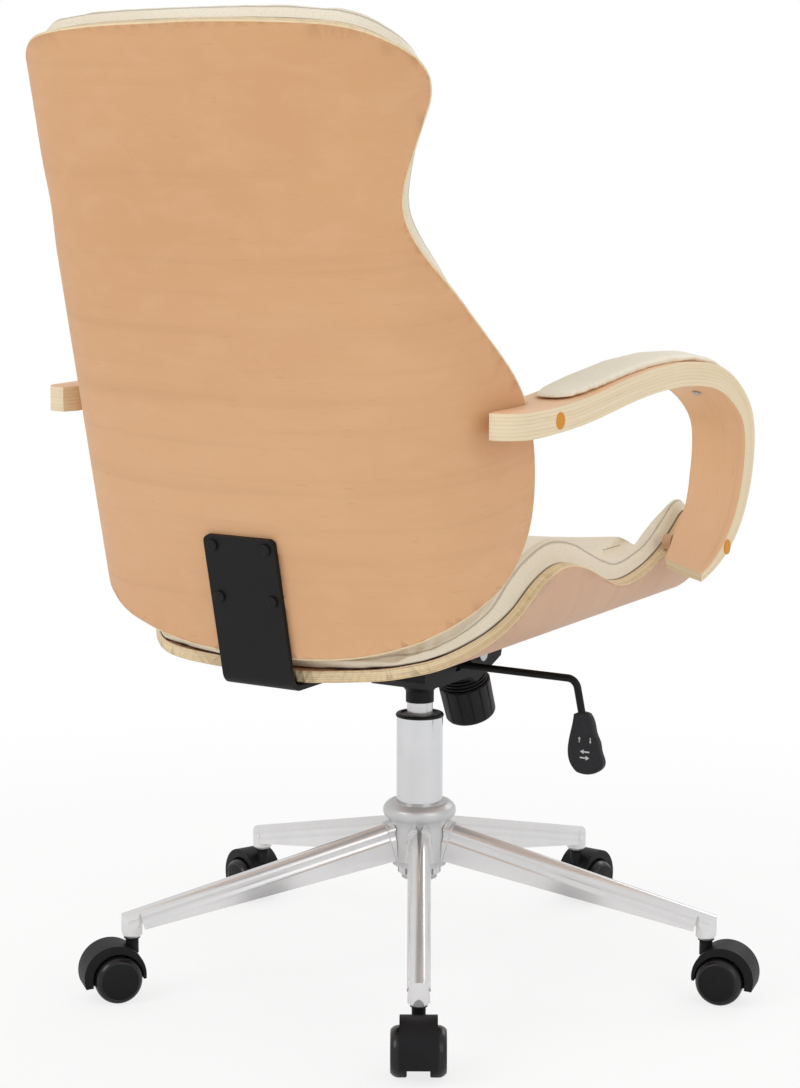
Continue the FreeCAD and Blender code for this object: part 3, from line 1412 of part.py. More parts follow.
# Seat plate: follows the underside of the seat, with two ears down to the tilt pin.
def seat_plate_shape():
    inner = num.seat_centre_radius + num.seat_gap
    outer = inner + num.plate_thickness
    half = num.plate_width / 2
    angle = half / num.seat_centre_radius

    def spot(radius, turn_angle):
        return Vector(radius * math.sin(turn_angle), 0, num.seat_centre_radius - radius * math.cos(turn_angle))

    edges = [
        Part.Arc(spot(inner, -angle), spot(inner, 0), spot(inner, angle)).toShape(),
        Part.makeLine(spot(inner, angle), spot(outer, angle)),
        Part.Arc(spot(outer, angle), spot(outer, 0), spot(outer, -angle)).toShape(),
        Part.makeLine(spot(outer, -angle), spot(inner, -angle)),
    ]
    plate = Part.Face(Part.Wire(edges)).extrude(Vector(0, num.plate_rear - num.plate_front, 0))
    plate.translate(Vector(0, num.plate_front, 0))
    for start, way in bolt_lines:
        plate = plate.cut(Part.makeCylinder(num.bolt_radius + num.running_gap, 20.0, start - way * 5, way))
    plate.Placement = seat_frame
    for side in (1, -1):
        near = num.housing_width / 2 + num.seat_gap
        low = num.tilt_pin_z - num.ear_drop
        x = near if side > 0 else -near - num.ear_thickness
        ear_top = num.seat_level - num.plate_thickness
        rise = math.tan(math.radians(num.seat_rise)) * -num.tilt_pin_y
        tall = ear_top + rise - low + (near * near) / (2 * num.seat_centre_radius)
        ear = Part.makeBox(num.ear_thickness, num.ear_length, tall,
                           Vector(x, num.tilt_pin_y - num.ear_length / 2, low))
        lower = [edge for edge in ear.Edges if edge.BoundBox.ZMax < low + 0.01 and edge.BoundBox.XLength > 1]
        ear = ear.makeFillet(num.ear_drop * 0.9, lower)
        plate = plate.fuse(ear)
    hole = Part.makeCylinder(num.tilt_pin_radius + num.running_gap, 400.0,
                             Vector(-200, num.tilt_pin_y, num.tilt_pin_z), Vector(1, 0, 0))
    return plate.removeSplitter().cut(hole)


keep(feature("seat_plate", seat_plate_shape()), "seat_plate")
seat_bolt_shapes = []
for start, way in bolt_lines:
    head = Part.makeCylinder(num.bolt_head_radius, num.bolt_head_height, start - way * num.running_gap, way * -1)
    shank = Part.makeCylinder(num.bolt_radius, bolt_reach, start - way * num.running_gap, way)
    seat_bolt_shapes.append(head.fuse(shank).removeSplitter())
keep(feature("seat_bolts", Part.Compound(seat_bolt_shapes), seat_frame), "seat_bolts")


# Cushions: each level is a closed line of arcs that lies on the shell, rises at a rounded
# side and crowns over the middle. The levels are lofted along the shell.
def half_width(half, along):
    reaches = []
    for (out_one, along_one), (out_two, along_two) in zip(half, half[1:]):
        low, high = sorted((along_one, along_two))
        if low <= along <= high and high > low:
            share = (along - along_one) / (along_two - along_one)
            reaches.append(out_one + (out_two - out_one) * share)
    return min(reaches) if reaches else 0.0


def cushion_level(kind, turn, way, along, wide, base, middle, edge, bulge):
    centre_half = kind[1]
    bend_end = centre_half + kind[2] * (math.radians(kind[3]) - centre_half / kind[0])
    near = centre_half if wide > centre_half + 20.0 else wide * 0.6
    far = min(bend_end, near + (wide - near) * 0.74)

    def high(out):
        return base + edge + (middle - edge) * (1 - (abs(out) / wide) ** 3)

    def spot(out, depth):
        return turn(*bent_point(kind, out, depth)) + way * along

    def lower(one, two):
        if min(abs(one), abs(two)) > bend_end - 0.01:
            return Part.makeLine(spot(one, base), spot(two, base))
        return Part.Arc(spot(one, base), spot((one + two) / 2, base), spot(two, base)).toShape()

    def upper(one, two):
        half = (one + two) / 2
        return Part.Arc(spot(one, high(one)), spot(half, high(half)), spot(two, high(two))).toShape()

    def side(sign):
        low = spot(sign * wide, base)
        top = spot(sign * wide, high(wide))
        out = spot(sign * (wide + bulge), (base + high(wide)) / 2)
        return Part.Arc(low, out, top).toShape()

    return Part.Wire([
        lower(-near, near), lower(near, far), lower(far, wide), side(1.0),
        upper(wide, far), upper(far, near), upper(near, -near), upper(-near, -far), upper(-far, -wide),
        side(-1.0), lower(-wide, -far), lower(-far, -near),
    ])


def cushion(kind, turn, way, half, levels, ply, middle, edge, frame):
    wires = []
    base = ply + num.soft_gap
    for along, high, narrow in levels:
        wide = half_width(half, along) - num.cushion_inset - narrow
        wires.append(cushion_level(
            kind, turn, way, along, wide, base, edge + (middle - edge) * high, edge * (0.4 + 0.6 * high),
            num.cushion_bulge * (0.3 + 0.7 * high),
        ))
    pad = Part.makeLoft(wires, True, True)
    pad.Placement = frame
    for side in (1, -1):
        form = arm_form if side > 0 else MIRROR(arm_form)
        for step in ((0, 0, 1), (0, 0, -1), (0, 1, 0), (0, -1, 0), (-side, 0, 0)):
            grown = form.copy()
            grown.translate(Vector(*step) * num.soft_gap)
            pad = pad.cut(grown)
    pad = max(pad.Solids, key=lambda solid: solid.Volume)
    pad.Placement = frame.inverse().multiply(pad.Placement)
    return pad


# Levels of a cushion as shares of its height, with how full it is and how much narrower.
def level_rows(low, high, shares):
    return [(low + (high - low) * share, full, narrow) for share, full, narrow in shares]


def back_levels():
    shares = [(0.0, 0.0, 4.0), (0.016, 0.55, 1.0), (0.052, 0.85, 0.0)]
    shares += [(share, 1.0, 0.0) for share in (0.117, 0.18, 0.257, 0.336, 0.412, 0.484, 0.55, 0.63, 0.686,
                                               0.748, 0.79, 0.83, 0.862)]
    shares += [(0.893, 0.97, 0.0), (0.92, 0.92, 0.0), (0.947, 0.82, 0.0), (0.968, 0.68, 0.0), (0.983, 0.5, 0.0)]
    return level_rows(num.back_cushion_bottom, num.back_cushion_top, shares)


back_pad = cushion(BACK, UPRIGHT, Vector(0, 0, 1), back_edge, back_levels(), num.back_ply,
                   num.back_cushion_middle, num.back_cushion_edge, back_frame)
keep(feature("back_cushion", back_pad, back_frame), "back_cushion")


def seat_levels():
    shares = [(0.0, 0.0, 6.0), (0.018, 0.6, 0.0), (0.054, 0.9, 0.0)]
    shares += [(share, 1.0, 0.0) for share in (0.116, 0.185, 0.255, 0.32, 0.382, 0.46, 0.544, 0.633, 0.71, 0.776)]
    shares += [(0.85, 0.9, 0.0), (0.919, 0.65, 0.0), (0.975, 0.35, 0.0), (1.0, 0.0, 4.0)]
    return level_rows(num.seat_cushion_front, num.seat_cushion_rear, shares)


seat_pad = cushion(SEAT, LEVEL, Vector(0, 1, 0), seat_edge, seat_levels(), num.seat_ply,
                   num.seat_cushion_middle, num.seat_cushion_edge, seat_frame)
keep(feature("seat_cushion", seat_pad, seat_frame), "seat_cushion")

doc.recompute()
for item in doc.Objects:
    if "Invalid" in item.State or "Error" in item.State:
        raise ValueError(f"{item.Name} failed: {item.State}")
names = [item.Label for item in nodes]
if len(set(names)) != len(names):
    raise ValueError("two sub-parts share a name")
for item in nodes:
    if item.Shape.isNull() or not item.Shape.isValid() or item.Shape.Volume <= 0:
        raise ValueError(f"{item.Label} has no valid shape")
for item in nodes:
    item.Shape.exportStep(f"parts/{item.Label}.step")
print(len(nodes), "sub-parts written")
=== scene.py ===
import math
import bmesh
import bpy
from mathutils import Matrix, Vector
from mathutils.bvhtree import BVHTree
from mathutils.kdtree import KDTree


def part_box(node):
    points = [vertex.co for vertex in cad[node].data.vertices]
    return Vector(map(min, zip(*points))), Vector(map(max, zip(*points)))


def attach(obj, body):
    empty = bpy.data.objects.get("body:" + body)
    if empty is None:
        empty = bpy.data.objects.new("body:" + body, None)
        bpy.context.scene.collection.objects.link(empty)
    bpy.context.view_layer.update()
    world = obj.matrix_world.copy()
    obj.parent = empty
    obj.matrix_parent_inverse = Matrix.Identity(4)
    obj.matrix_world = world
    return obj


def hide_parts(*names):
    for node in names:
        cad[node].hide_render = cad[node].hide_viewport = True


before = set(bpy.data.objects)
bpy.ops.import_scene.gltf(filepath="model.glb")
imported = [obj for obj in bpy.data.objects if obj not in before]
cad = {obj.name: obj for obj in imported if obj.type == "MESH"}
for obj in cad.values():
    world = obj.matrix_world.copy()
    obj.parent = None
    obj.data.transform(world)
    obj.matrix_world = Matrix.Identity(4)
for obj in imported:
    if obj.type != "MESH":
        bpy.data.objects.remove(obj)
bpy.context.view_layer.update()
millimetre = 0.001
print("frame loaded,", len(cad), "nodes")


# working habits used by every piece
def pickNothing():
    active = bpy.context.view_layer.objects.active
    if active and active.mode != "OBJECT":
        bpy.ops.object.mode_set(mode="OBJECT")
    bpy.ops.object.select_all(action="DESELECT")


def workOn(*pieces):
    pickNothing()
    for piece in pieces:
        piece.select_set(True)
    bpy.context.view_layer.objects.active = pieces[0]


def nameIt(name):
    piece = bpy.context.object
    piece.name = name
    piece.data.name = name
    return piece


def freeze(piece, scale=None):
    workOn(piece)
    if scale:
        piece.scale = scale
    bpy.ops.object.transform_apply(location=True, rotation=True, scale=True)
    return piece


def applyModifier(piece, kind, **settings):
    workOn(piece)
    modifier = piece.modifiers.new(kind.title(), kind)
    for key, value in settings.items():
        setattr(modifier, key, value)
    bpy.ops.object.modifier_apply(modifier=modifier.name)


# edit mode, with only the faces that pass the test picked
def pickFaces(piece, test):
    bpy.ops.object.mode_set(mode="EDIT")
    bpy.ops.mesh.select_all(action="DESELECT")
    bpy.ops.mesh.select_mode(type="FACE")
    mesh = bmesh.from_edit_mesh(piece.data)
    for face in mesh.faces:
        face.select = bool(test(face.calc_center_median(), face.normal))
    mesh.select_flush(True)
    bmesh.update_edit_mesh(piece.data)


def leaveEdit():
    bpy.ops.object.mode_set(mode="OBJECT")


def smoothBy(piece, degrees):
    workOn(piece)
    bpy.ops.object.shade_smooth_by_angle(angle=math.radians(degrees))


# a CAD node's mesh as a piece of its own, with its loose triangles joined up
def copyNode(node, name):
    piece = bpy.data.objects.new(name, cad[node].data.copy())
    piece.data.name = name
    piece.data.materials.clear()
    bpy.context.scene.collection.objects.link(piece)
    workOn(piece)
    bpy.ops.object.mode_set(mode="EDIT")
    bpy.ops.mesh.select_all(action="SELECT")
    bpy.ops.mesh.remove_doubles(threshold=0.000005)
    leaveEdit()
    return piece


def dress(piece, finish):
    piece.data.materials.clear()
    piece.data.materials.append(finish)


def dressNodes(finish, *names):
    for name in names:
        node = cad[name]
        if not node.material_slots:
            node.data.materials.append(finish)
        for place in node.material_slots:
            place.material = finish


def settle(piece, body, nodes=()):
    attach(piece, body)
    if nodes:
        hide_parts(*nodes)


# an sRGB colour, 0 to 255, as the linear values that a shader takes
def tint(red, green, blue):
    def flat(value):
        value = value / 255
        return value / 12.92 if value <= 0.04045 else ((value + 0.055) / 1.055) ** 2.4
    return (flat(red), flat(green), flat(blue), 1.0)


# an output of a node that can be added, taken away and multiplied like a number
class Signal:
    def __init__(self, finish, socket):
        self.finish = finish
        self.socket = socket

    def __add__(self, other):
        return self.finish.maths("ADD", self, other)

    def __radd__(self, other):
        return self.finish.maths("ADD", other, self)

    def __sub__(self, other):
        return self.finish.maths("SUBTRACT", self, other)

    def __rsub__(self, other):
        return self.finish.maths("SUBTRACT", other, self)

    def __mul__(self, other):
        return self.finish.maths("MULTIPLY", self, other)

    def __rmul__(self, other):
        return self.finish.maths("MULTIPLY", other, self)


class Finish:
    def __init__(self, name, **constants):
        self.material = bpy.data.materials.new(name)
        self.material.use_nodes = True
        self.tree = self.material.node_tree
        self.tree.nodes.clear()
        self.output = self.tree.nodes.new("ShaderNodeOutputMaterial")
        self.shader = self.tree.nodes.new("ShaderNodeBsdfPrincipled")
        self.tree.links.new(self.shader.outputs[0], self.output.inputs["Surface"])
        for key, value in constants.items():
            self.set(key.replace("_", " "), value)

    def feed(self, socket, value):
        if isinstance(value, Signal):
            self.tree.links.new(value.socket, socket)
        else:
            socket.default_value = value

    def set(self, socketName, value):
        self.feed(self.shader.inputs[socketName], value)

    def node(self, kind, settings=None, sockets=None, out=0):
        made = self.tree.nodes.new(kind)
        for key, value in (settings or {}).items():
            setattr(made, key, value)
        for key, value in (sockets or {}).items():
            self.feed(made.inputs[key], value)
        return Signal(self, made.outputs[out])

    def maths(self, operation, first, second=0.0):
        return self.node("ShaderNodeMath", {"operation": operation}, {0: first, 1: second})

    def mixed(self, share, first, second, how="MIX"):
        settings = {"data_type": "RGBA", "blend_type": how, "clamp_factor": True}
        return self.node("ShaderNodeMix", settings, {"Factor": share, 6: first, 7: second}, out=2)

    def noiseAt(self, where, scale, detail=3.0, rough=0.55, warp=0.0):
        return self.node("ShaderNodeTexNoise", {"noise_dimensions": "3D"}, {
            "Vector": where, "Scale": scale, "Detail": detail, "Roughness": rough, "Distortion": warp})

    def stretched(self, where, sizes, shift=(0, 0, 0)):
        return self.node("ShaderNodeMapping", {}, {"Vector": where, "Location": shift, "Scale": sizes})

    def step(self, value, low, high):
        return self.node("ShaderNodeMapRange", {"interpolation_type": "SMOOTHSTEP"}, {
            "Value": value, "From Min": low, "From Max": high, "To Min": 0.0, "To Max": 1.0})

    def bump(self, height, distance, strength=1.0, under=None):
        sockets = {"Height": height, "Distance": distance, "Strength": strength}
        if under is not None:
            sockets["Normal"] = under
        return self.node("ShaderNodeBump", {}, sockets)

    def here(self):
        return self.node("ShaderNodeTexCoord", {}, {}, out="Object")

    def read(self, attribute, out):
        settings = {"attribute_type": "GEOMETRY", "attribute_name": attribute}
        return self.node("ShaderNodeAttribute", settings, {}, out=out)

    def along(self, attribute):
        return self.read(attribute, "Vector")

    def parts(self, vector):
        split = self.tree.nodes.new("ShaderNodeSeparateXYZ")
        self.feed(split.inputs[0], vector)
        return [Signal(self, socket) for socket in split.outputs]

    def joined(self, x, y, z):
        return self.node("ShaderNodeCombineXYZ", {}, {"X": x, "Y": y, "Z": z})


# Beech ply. "sheet" holds metres along the grain, metres across it and the share of the thickness.
# On the arms "sawn" is 1 on a cut side and 0 on a veneered face.
shellLook = {
    "face": (217, 167, 121), "warm": (212, 160, 114), "pale": (224, 179, 137),
    "streak": (178, 128, 88), "fleck": (158, 108, 72), "edge": (238, 218, 180),
    "edgeShade": (216, 186, 140), "glue": (150, 112, 74), "seam": 0.5, "tear": 0.5, "coat": 0.10,
}
seatLook = dict(shellLook, face=(205, 165, 134), warm=(199, 157, 124), pale=(213, 176, 147))
# The arms' face, warm and pale colours are the ply's painted lighter, as bounced light on the arms.
armLookPaintedBounce = dict(shellLook, face=(237, 192, 150), warm=(231, 184, 140), pale=(240, 201, 163),
               edge=(236, 219, 186), edgeShade=(224, 202, 162), glue=(172, 134, 92), seam=0.22, tear=0.3)


def makePly(name, plies, look, sawnByFace=False):
    finish = Finish(name, IOR=1.42, Coat_Roughness=0.35)
    colours = {key: tint(*value) for key, value in look.items() if isinstance(value, tuple)}
    sheet = finish.along("sheet")
    along, across, depth = finish.parts(sheet)

    def grainAt(sizes, shift, detail, rough, warp=0.0):
        return finish.noiseAt(finish.stretched(sheet, sizes, shift), 1.0, detail, rough, warp)

    cloud = grainAt((2.2, 4.5, 0.0), (0, 0, 0), 2.0, 0.45, 0.3)
    mottle = grainAt((16.0, 34.0, 0.0), (3.1, 1.7, 0.0), 3.0, 0.6, 0.5)
    growth = grainAt((1.5, 46.0, 0.0), (7.0, 0.3, 0.0), 3.0, 0.6, 0.25)
    hair = grainAt((20.0, 700.0, 0.0), (0, 0, 0), 2.0, 0.6)
    dash = grainAt((34.0, 420.0, 0.0), (2.0, 9.0, 0.0), 2.0, 0.5)
    fleck = grainAt((120.0, 900.0, 0.0), (0.4, 2.2, 0.0), 1.0, 0.4)
    # grain shows more towards the bottom of the back, and the top is softer and mottled
    lower = finish.step(across, 0.34, 0.02)
    streak, brown = colours["streak"], colours["fleck"]
    colour = finish.mixed(finish.step(cloud, 0.35, 0.68), colours["face"], colours["warm"])
    colour = finish.mixed(finish.step(mottle, 0.42, 0.74) * 0.34, colour, colours["pale"])
    colour = finish.mixed(finish.step(growth, 0.5, 0.72) * (0.1 + 0.16 * lower), colour, streak)
    colour = finish.mixed(finish.step(hair, 0.45, 0.8) * (0.05 + 0.08 * lower), colour, streak)
    colour = finish.mixed(finish.step(dash, 0.66, 0.74) * (0.1 + 0.22 * lower), colour, brown)
    colour = finish.mixed(finish.step(fleck, 0.74, 0.79) * 0.22, colour, brown)
    colour = finish.mixed(lower * 0.35, colour, colours["pale"])
    # cut edge: broad cream layers, thin broken glue lines, a few brown tears along the layers
    wander = finish.noiseAt(finish.stretched(sheet, (9.0, 9.0, 0.0)), 1.0, 2.0)
    ply = depth * plies + (wander - 0.5) * 0.5
    number = finish.maths("FLOOR", ply)
    inside = finish.maths("FRACT", ply)
    seam = finish.step(finish.maths("MINIMUM", inside, 1 - inside), 0.14, 0.02)
    tearSpot = finish.joined(along * 16.0, across * 16.0, number * 5.3 + inside)
    tear = finish.noiseAt(tearSpot, 1.0, 4.0, 0.62)
    layer = finish.noiseAt(finish.joined(along * 2.0, 0.0, number * 3.1), 1.0)
    edge = finish.mixed(finish.step(layer, 0.38, 0.66) * 0.55, colours["edge"], colours["edgeShade"])
    edge = finish.mixed(finish.step(tear, 0.6, 0.74) * look["tear"], edge, colours["glue"])
    broken = 0.12 + look["seam"] * finish.step(tear, 0.42, 0.6)
    edge = finish.mixed(seam * broken, edge, colours["glue"])
    if sawnByFace:
        onEdge = finish.read("sawn", "Fac")
    else:
        onEdge = finish.step(depth, 0.015, 0.04) * finish.step(depth, 0.985, 0.96)
    finish.set("Base Color", finish.mixed(onEdge, colour, edge))
    finish.set("Roughness", 0.46 + 0.08 * mottle + 0.16 * onEdge)
    finish.set("Coat Weight", look["coat"] * (1 - onEdge))
    grain = finish.bump(hair + dash * 0.5, 0.00010, 0.3)
    finish.set("Normal", finish.bump(seam * -1.0 + tear * 0.5, 0.0002, onEdge * 0.5, grain))
    return finish.material


# Bonded leather. On the cushions "sewn" holds height over the ply, distance in from the rim, and run.
# the last colour is painted shade: a dark brown for the line where a cushion meets the ply, and for its
# seam line
leatherLook = {
    "hide": (234, 223, 201), "shade": (214, 201, 176), "light": (240, 231, 212), "paintedShadeBrown": (92, 76, 58),
}
weltHeight = 0.0105  # how far over the ply the cushions' seam runs


def makeLeather(name, seamAt=0.0):
    finish = Finish(name, IOR=1.45, Sheen_Weight=0.06, Sheen_Roughness=0.4)
    hide, shade, light, paintedShadeBrown = [tint(*leatherLook[key]) for key in ("hide", "shade", "light", "paintedShadeBrown")]
    where = finish.here()
    pebble = finish.node("ShaderNodeTexVoronoi", {"feature": "SMOOTH_F1"}, {
        "Vector": where, "Scale": 620.0, "Smoothness": 0.5, "Randomness": 0.9}, out="Distance")
    crease = finish.noiseAt(where, 62.0, 4.0, 0.6, 0.6)
    cloud = finish.noiseAt(where, 8.0, 2.0, 0.5)
    colour = finish.mixed(finish.step(cloud, 0.35, 0.7), hide, light)
    colour = finish.mixed(finish.step(pebble, 0.35, 0.75) * 0.3, colour, shade)
    colour = finish.mixed(finish.step(crease, 0.58, 0.75) * 0.2, colour, shade)
    relief = finish.bump(crease, 0.0004, 0.2, finish.bump(pebble, 0.00018, 0.35))
    if seamAt:
        height, rim, run = finish.parts(finish.along("sewn"))
        nearRim = finish.step(rim, 0.034, 0.024)
        seam = finish.step(finish.maths("ABSOLUTE", height - seamAt), 0.0012, 0.0003) * nearRim
        # painted shade: the band just over the ply, where the cushion meets it, is darkened as a contact
        # shadow
        contactShade = finish.step(height, 0.0026, 0.0008) * nearRim
        beat = finish.maths("FRACT", run * 210.0)
        stitch = finish.step(finish.maths("ABSOLUTE", height - seamAt - 0.003), 0.0006, 0.0003) * nearRim
        stitch = stitch * finish.step(finish.maths("ABSOLUTE", beat - 0.5), 0.36, 0.3)
        # painted shade along the welt's pressed seam line, in the painted shade brown
        colour = finish.mixed(seam * 0.42, colour, paintedShadeBrown)
        colour = finish.mixed(stitch * 0.3, colour, shade)
        colour = finish.mixed(contactShade * 0.8, colour, paintedShadeBrown)
        relief = finish.bump(stitch * 0.4 - seam, 0.0012, 0.6, relief)
    finish.set("Base Color", colour)
    finish.set("Roughness", 0.44 + 0.16 * crease)
    finish.set("Normal", relief)
    return finish.material


def makeThread(name):
    finish = Finish(name, Roughness=0.75)
    twist = finish.noiseAt(finish.stretched(finish.here(), (900.0, 900.0, 900.0)), 1.0, 1.0)
    finish.set("Base Color", finish.mixed(twist, tint(128, 112, 88), tint(158, 142, 116)))
    finish.set("Normal", finish.bump(twist, 0.0002, 0.6))
    return finish.material


def makeChrome(name, rough=0.1, brushed=0.0, tone=(228, 229, 231), metal=1.0):
    finish = Finish(name, Metallic=metal)
    where = finish.here()
    smear = finish.noiseAt(where, 22.0, 3.0, 0.6, 0.4)
    dust = finish.noiseAt(where, 800.0, 2.0, 0.5)
    dull = tuple(part - 14 for part in tone)
    finish.set("Base Color", finish.mixed(smear, tint(*dull), tint(*tone)))
    finish.set("Roughness", rough + 0.06 * smear + 0.03 * dust)
    if brushed:
        lines = finish.noiseAt(finish.stretched(where, (1500.0, 1500.0, 10.0)), 1.0, 2.0, 0.6)
        finish.set("Normal", finish.bump(lines, 0.00003, brushed))
    else:
        finish.set("Normal", finish.bump(smear, 0.0006, 0.03))
    return finish.material


def makeZinc(name):
    finish = Finish(name, Metallic=1.0)
    where = finish.here()
    crystals = finish.node("ShaderNodeTexVoronoi", {}, {"Vector": where, "Scale": 420.0}, out="Color")
    tone = finish.noiseAt(where, 160.0, 3.0, 0.6)
    colour = finish.mixed(tone, tint(176, 180, 184), tint(206, 208, 209))
    finish.set("Base Color", finish.mixed(0.12, colour, crystals, "OVERLAY"))
    finish.set("Roughness", 0.24 + 0.2 * tone)
    finish.set("Normal", finish.bump(tone, 0.0002, 0.2))
    return finish.material


# painted steel and moulded plastic: a fine texture, and broad patches a little lighter
def makeBlack(name, colour, rough, grain, depth=0.0002, lift=8, specular=0.3):
    finish = Finish(name, IOR=1.48, Specular_IOR_Level=specular)
    where = finish.here()
    texture = finish.noiseAt(where, grain, 3.0, 0.6)
    worn = finish.noiseAt(where, 34.0, 3.0, 0.6)
    light = tuple(part + lift for part in colour)
    patches = finish.step(worn, 0.42, 0.75) * 0.8
    finish.set("Base Color", finish.mixed(patches, tint(*colour), tint(*light)))
    finish.set("Roughness", rough + 0.14 * worn)
    finish.set("Normal", finish.bump(texture, depth, 0.4))
    return finish.material


# "turned" holds a wheel's radius at each point and 1 on its outer half: a matt cap, and a glossy shoulder
# and tread coloured lighter than the cap, partly as a painted highlight
def makeWheelPlastic(name):
    finish = Finish(name, IOR=1.5, Coat_Roughness=0.08, Specular_IOR_Level=0.28)
    radius, outward = finish.parts(finish.along("turned"))[:2]
    cap = finish.step(radius, 0.0193, 0.0190) * finish.step(outward, 0.3, 0.6)
    texture = finish.noiseAt(finish.here(), 1300.0, 3.0, 0.6)
    scuff = finish.noiseAt(finish.here(), 60.0, 3.0, 0.6)
    # the scuffed shoulder and tread colour is lighter than the cap's, partly as a painted highlight on
    # the shoulder
    rim = finish.mixed(finish.step(scuff, 0.45, 0.75) * 0.6, tint(18, 18, 21), tint(30, 30, 34))
    finish.set("Base Color", finish.mixed(cap, rim, tint(7, 7, 9)))
    finish.set("Roughness", 0.24 + 0.1 * scuff + 0.24 * cap)
    finish.set("Coat Weight", 0.3 * (1 - cap))
    finish.set("Normal", finish.bump(texture, 0.0002, 0.15 + 0.35 * cap))
    return finish.material


def makePlug(name):
    finish = Finish(name, IOR=1.46)
    grain = finish.noiseAt(finish.stretched(finish.here(), (200.0, 900.0, 90.0)), 1.0, 3.0, 0.6)
    dark = finish.step(grain, 0.35, 0.7)
    finish.set("Base Color", finish.mixed(dark, tint(221, 148, 36), tint(205, 128, 26)))
    finish.set("Roughness", 0.5 + 0.12 * grain)
    finish.set("Normal", finish.bump(grain, 0.0002, 0.3))
    return finish.material


def makePrint(name):
    finish = Finish(name, Roughness=0.55)
    speckle = finish.noiseAt(finish.here(), 1500.0, 2.0, 0.5)
    finish.set("Base Color", finish.mixed(speckle, tint(196, 198, 200), tint(222, 223, 224)))
    return finish.material


shellPly = makePly("shell_ply", 6.0, shellLook)
seatPly = makePly("seat_ply", 6.0, seatLook)
# the arms' ply, with its face painted lighter as bounced light
armPly = makePly("arm_ply", 7.0, armLookPaintedBounce, True)
leather = makeLeather("cream_leather")
cushionLeather = makeLeather("cushion_leather", weltHeight)
thread = makeThread("sewing_thread")
chrome = makeChrome("polished_chrome", 0.11, 0.0, (240, 240, 241), 0.5)
hubChrome = makeChrome("satin_casting", 0.32, 0.0, (220, 221, 222), 0.5)
tubeChrome = makeChrome("brushed_chrome", 0.12, 0.3)
zinc = makeZinc("zinc_plate")
satinSteel = makeBlack("black_satin_steel", (7, 7, 7), 0.46, 1400.0)
plastic = makeBlack("black_plastic", (20, 20, 21), 0.38, 900.0)
paddlePlastic = makeBlack("paddle_plastic", (34, 35, 39), 0.42, 1100.0)
hoodPlastic = makeBlack("hood_plastic", (14, 15, 18), 0.44, 1200.0, specular=0.25)
wheelPlastic = makeWheelPlastic("wheel_plastic")
plugWood = makePlug("orange_plug")
paint = makePrint("white_print")
print("finishes made")

five = range(1, 6)
dressNodes(chrome, *[f"base_leg_{i}" for i in five], "gas_piston")
dressNodes(hubChrome, "base_hub")
dressNodes(tubeChrome, "gas_tube")
dressNodes(zinc, "gas_rod", "tube_clip", "release_pin", "tilt_pin")
dressNodes(zinc, "seat_bolts", "arm_bolts", "pad_screws")
dressNodes(zinc, *[f"caster_axle_{i}" for i in five])
dressNodes(plastic, *[f"caster_stem_{i}" for i in five])
dressNodes(hoodPlastic, *[f"caster_body_{i}" for i in five])
dressNodes(hoodPlastic, *[f"wheel_{side}_{i}" for side in ("a", "b") for i in five])
dressNodes(plastic, "tube_ring", "spring_cup", "tension_knob", "lever_bush")
dressNodes(paddlePlastic, "lever_paddle")
dressNodes(satinSteel, "mechanism_housing", "lever_rod", "seat_plate", "back_bracket", "bracket_screws")
dressNodes(plugWood, "arm_plugs")
dressNodes(seatPly, "seat_shell")
dressNodes(shellPly, "back_shell")
dressNodes(armPly, "arm_left", "arm_right")
dressNodes(leather, "seat_cushion", "back_cushion", "arm_pad_left", "arm_pad_right")


# how the two shells are bent: middle radius, half width of it, side radius, side angle, and the flat
# rim of one half in millimetres, out from the middle and along
seatBend = {
    "radius": 0.800, "half": 0.162, "side": 0.064, "angle": 80.0, "ply": 0.012,
    "origin": (0.0, 0.0, 0.376), "turn": -1.26, "upright": False,
    "rim": [(0, 273), (100, 273), (136, 270), (160, 252), (184, 226), (208, 185), (234, 146),
            (257, 112), (269, 72), (262, 26), (245, -18), (230, -58), (226, -90), (233, -124),
            (250, -166), (272, -196), (286, -216), (274, -243), (238, -258), (140, -263), (0, -264)],
}
backBend = {
    "radius": 0.750, "half": 0.160, "side": 0.102, "angle": 82.0, "ply": 0.011,
    "origin": (0.0, 0.328, 0.520), "turn": -12.5, "upright": True,
    "rim": [(0, 489.5), (75, 488), (140, 483), (184, 474.5), (216, 458.5), (238, 441), (249, 421),
            (248, 404), (240, 387), (221, 348), (210.5, 312), (218, 280), (246, 234), (272, 194),
            (303, 152), (328, 108), (336, 62), (331, 16), (315, -25), (287, -54), (240, -79),
            (180, -103), (105, -122), (0, -127)],
}


def bendFrame(bend):
    turn = Matrix.Rotation(math.radians(bend["turn"]), 4, "X")
    return Matrix.Translation(bend["origin"]) @ turn


# a point on the bent sheet, laid flat: out from the middle, along it, depth into the hollow
def layFlat(bend, point):
    local = bendFrame(bend).inverted() @ Vector(point)
    x = abs(local.x)
    rise = -local.y if bend["upright"] else local.z
    along = local.z if bend["upright"] else local.y
    first = bend["half"] / bend["radius"]
    last = math.radians(bend["angle"])
    radius, side = bend["radius"], bend["side"]
    angle = math.atan2(x, radius - rise)
    if angle <= first:
        return math.copysign(angle * radius, local.x), along, radius - math.hypot(x, radius - rise)
    centreX = (radius - side) * math.sin(first)
    centreRise = radius - (radius - side) * math.cos(first)
    angle = math.atan2(x - centreX, centreRise - rise)
    if angle <= last:
        out = bend["half"] + side * (angle - first)
        return math.copysign(out, local.x), along, side - math.hypot(x - centreX, centreRise - rise)
    startX = centreX + side * math.sin(last)
    startRise = centreRise - side * math.cos(last)
    run = (x - startX) * math.cos(last) + (rise - startRise) * math.sin(last)
    depth = -(x - startX) * math.sin(last) + (rise - startRise) * math.cos(last)
    return math.copysign(bend["half"] + side * (last - first) + run, local.x), along, depth


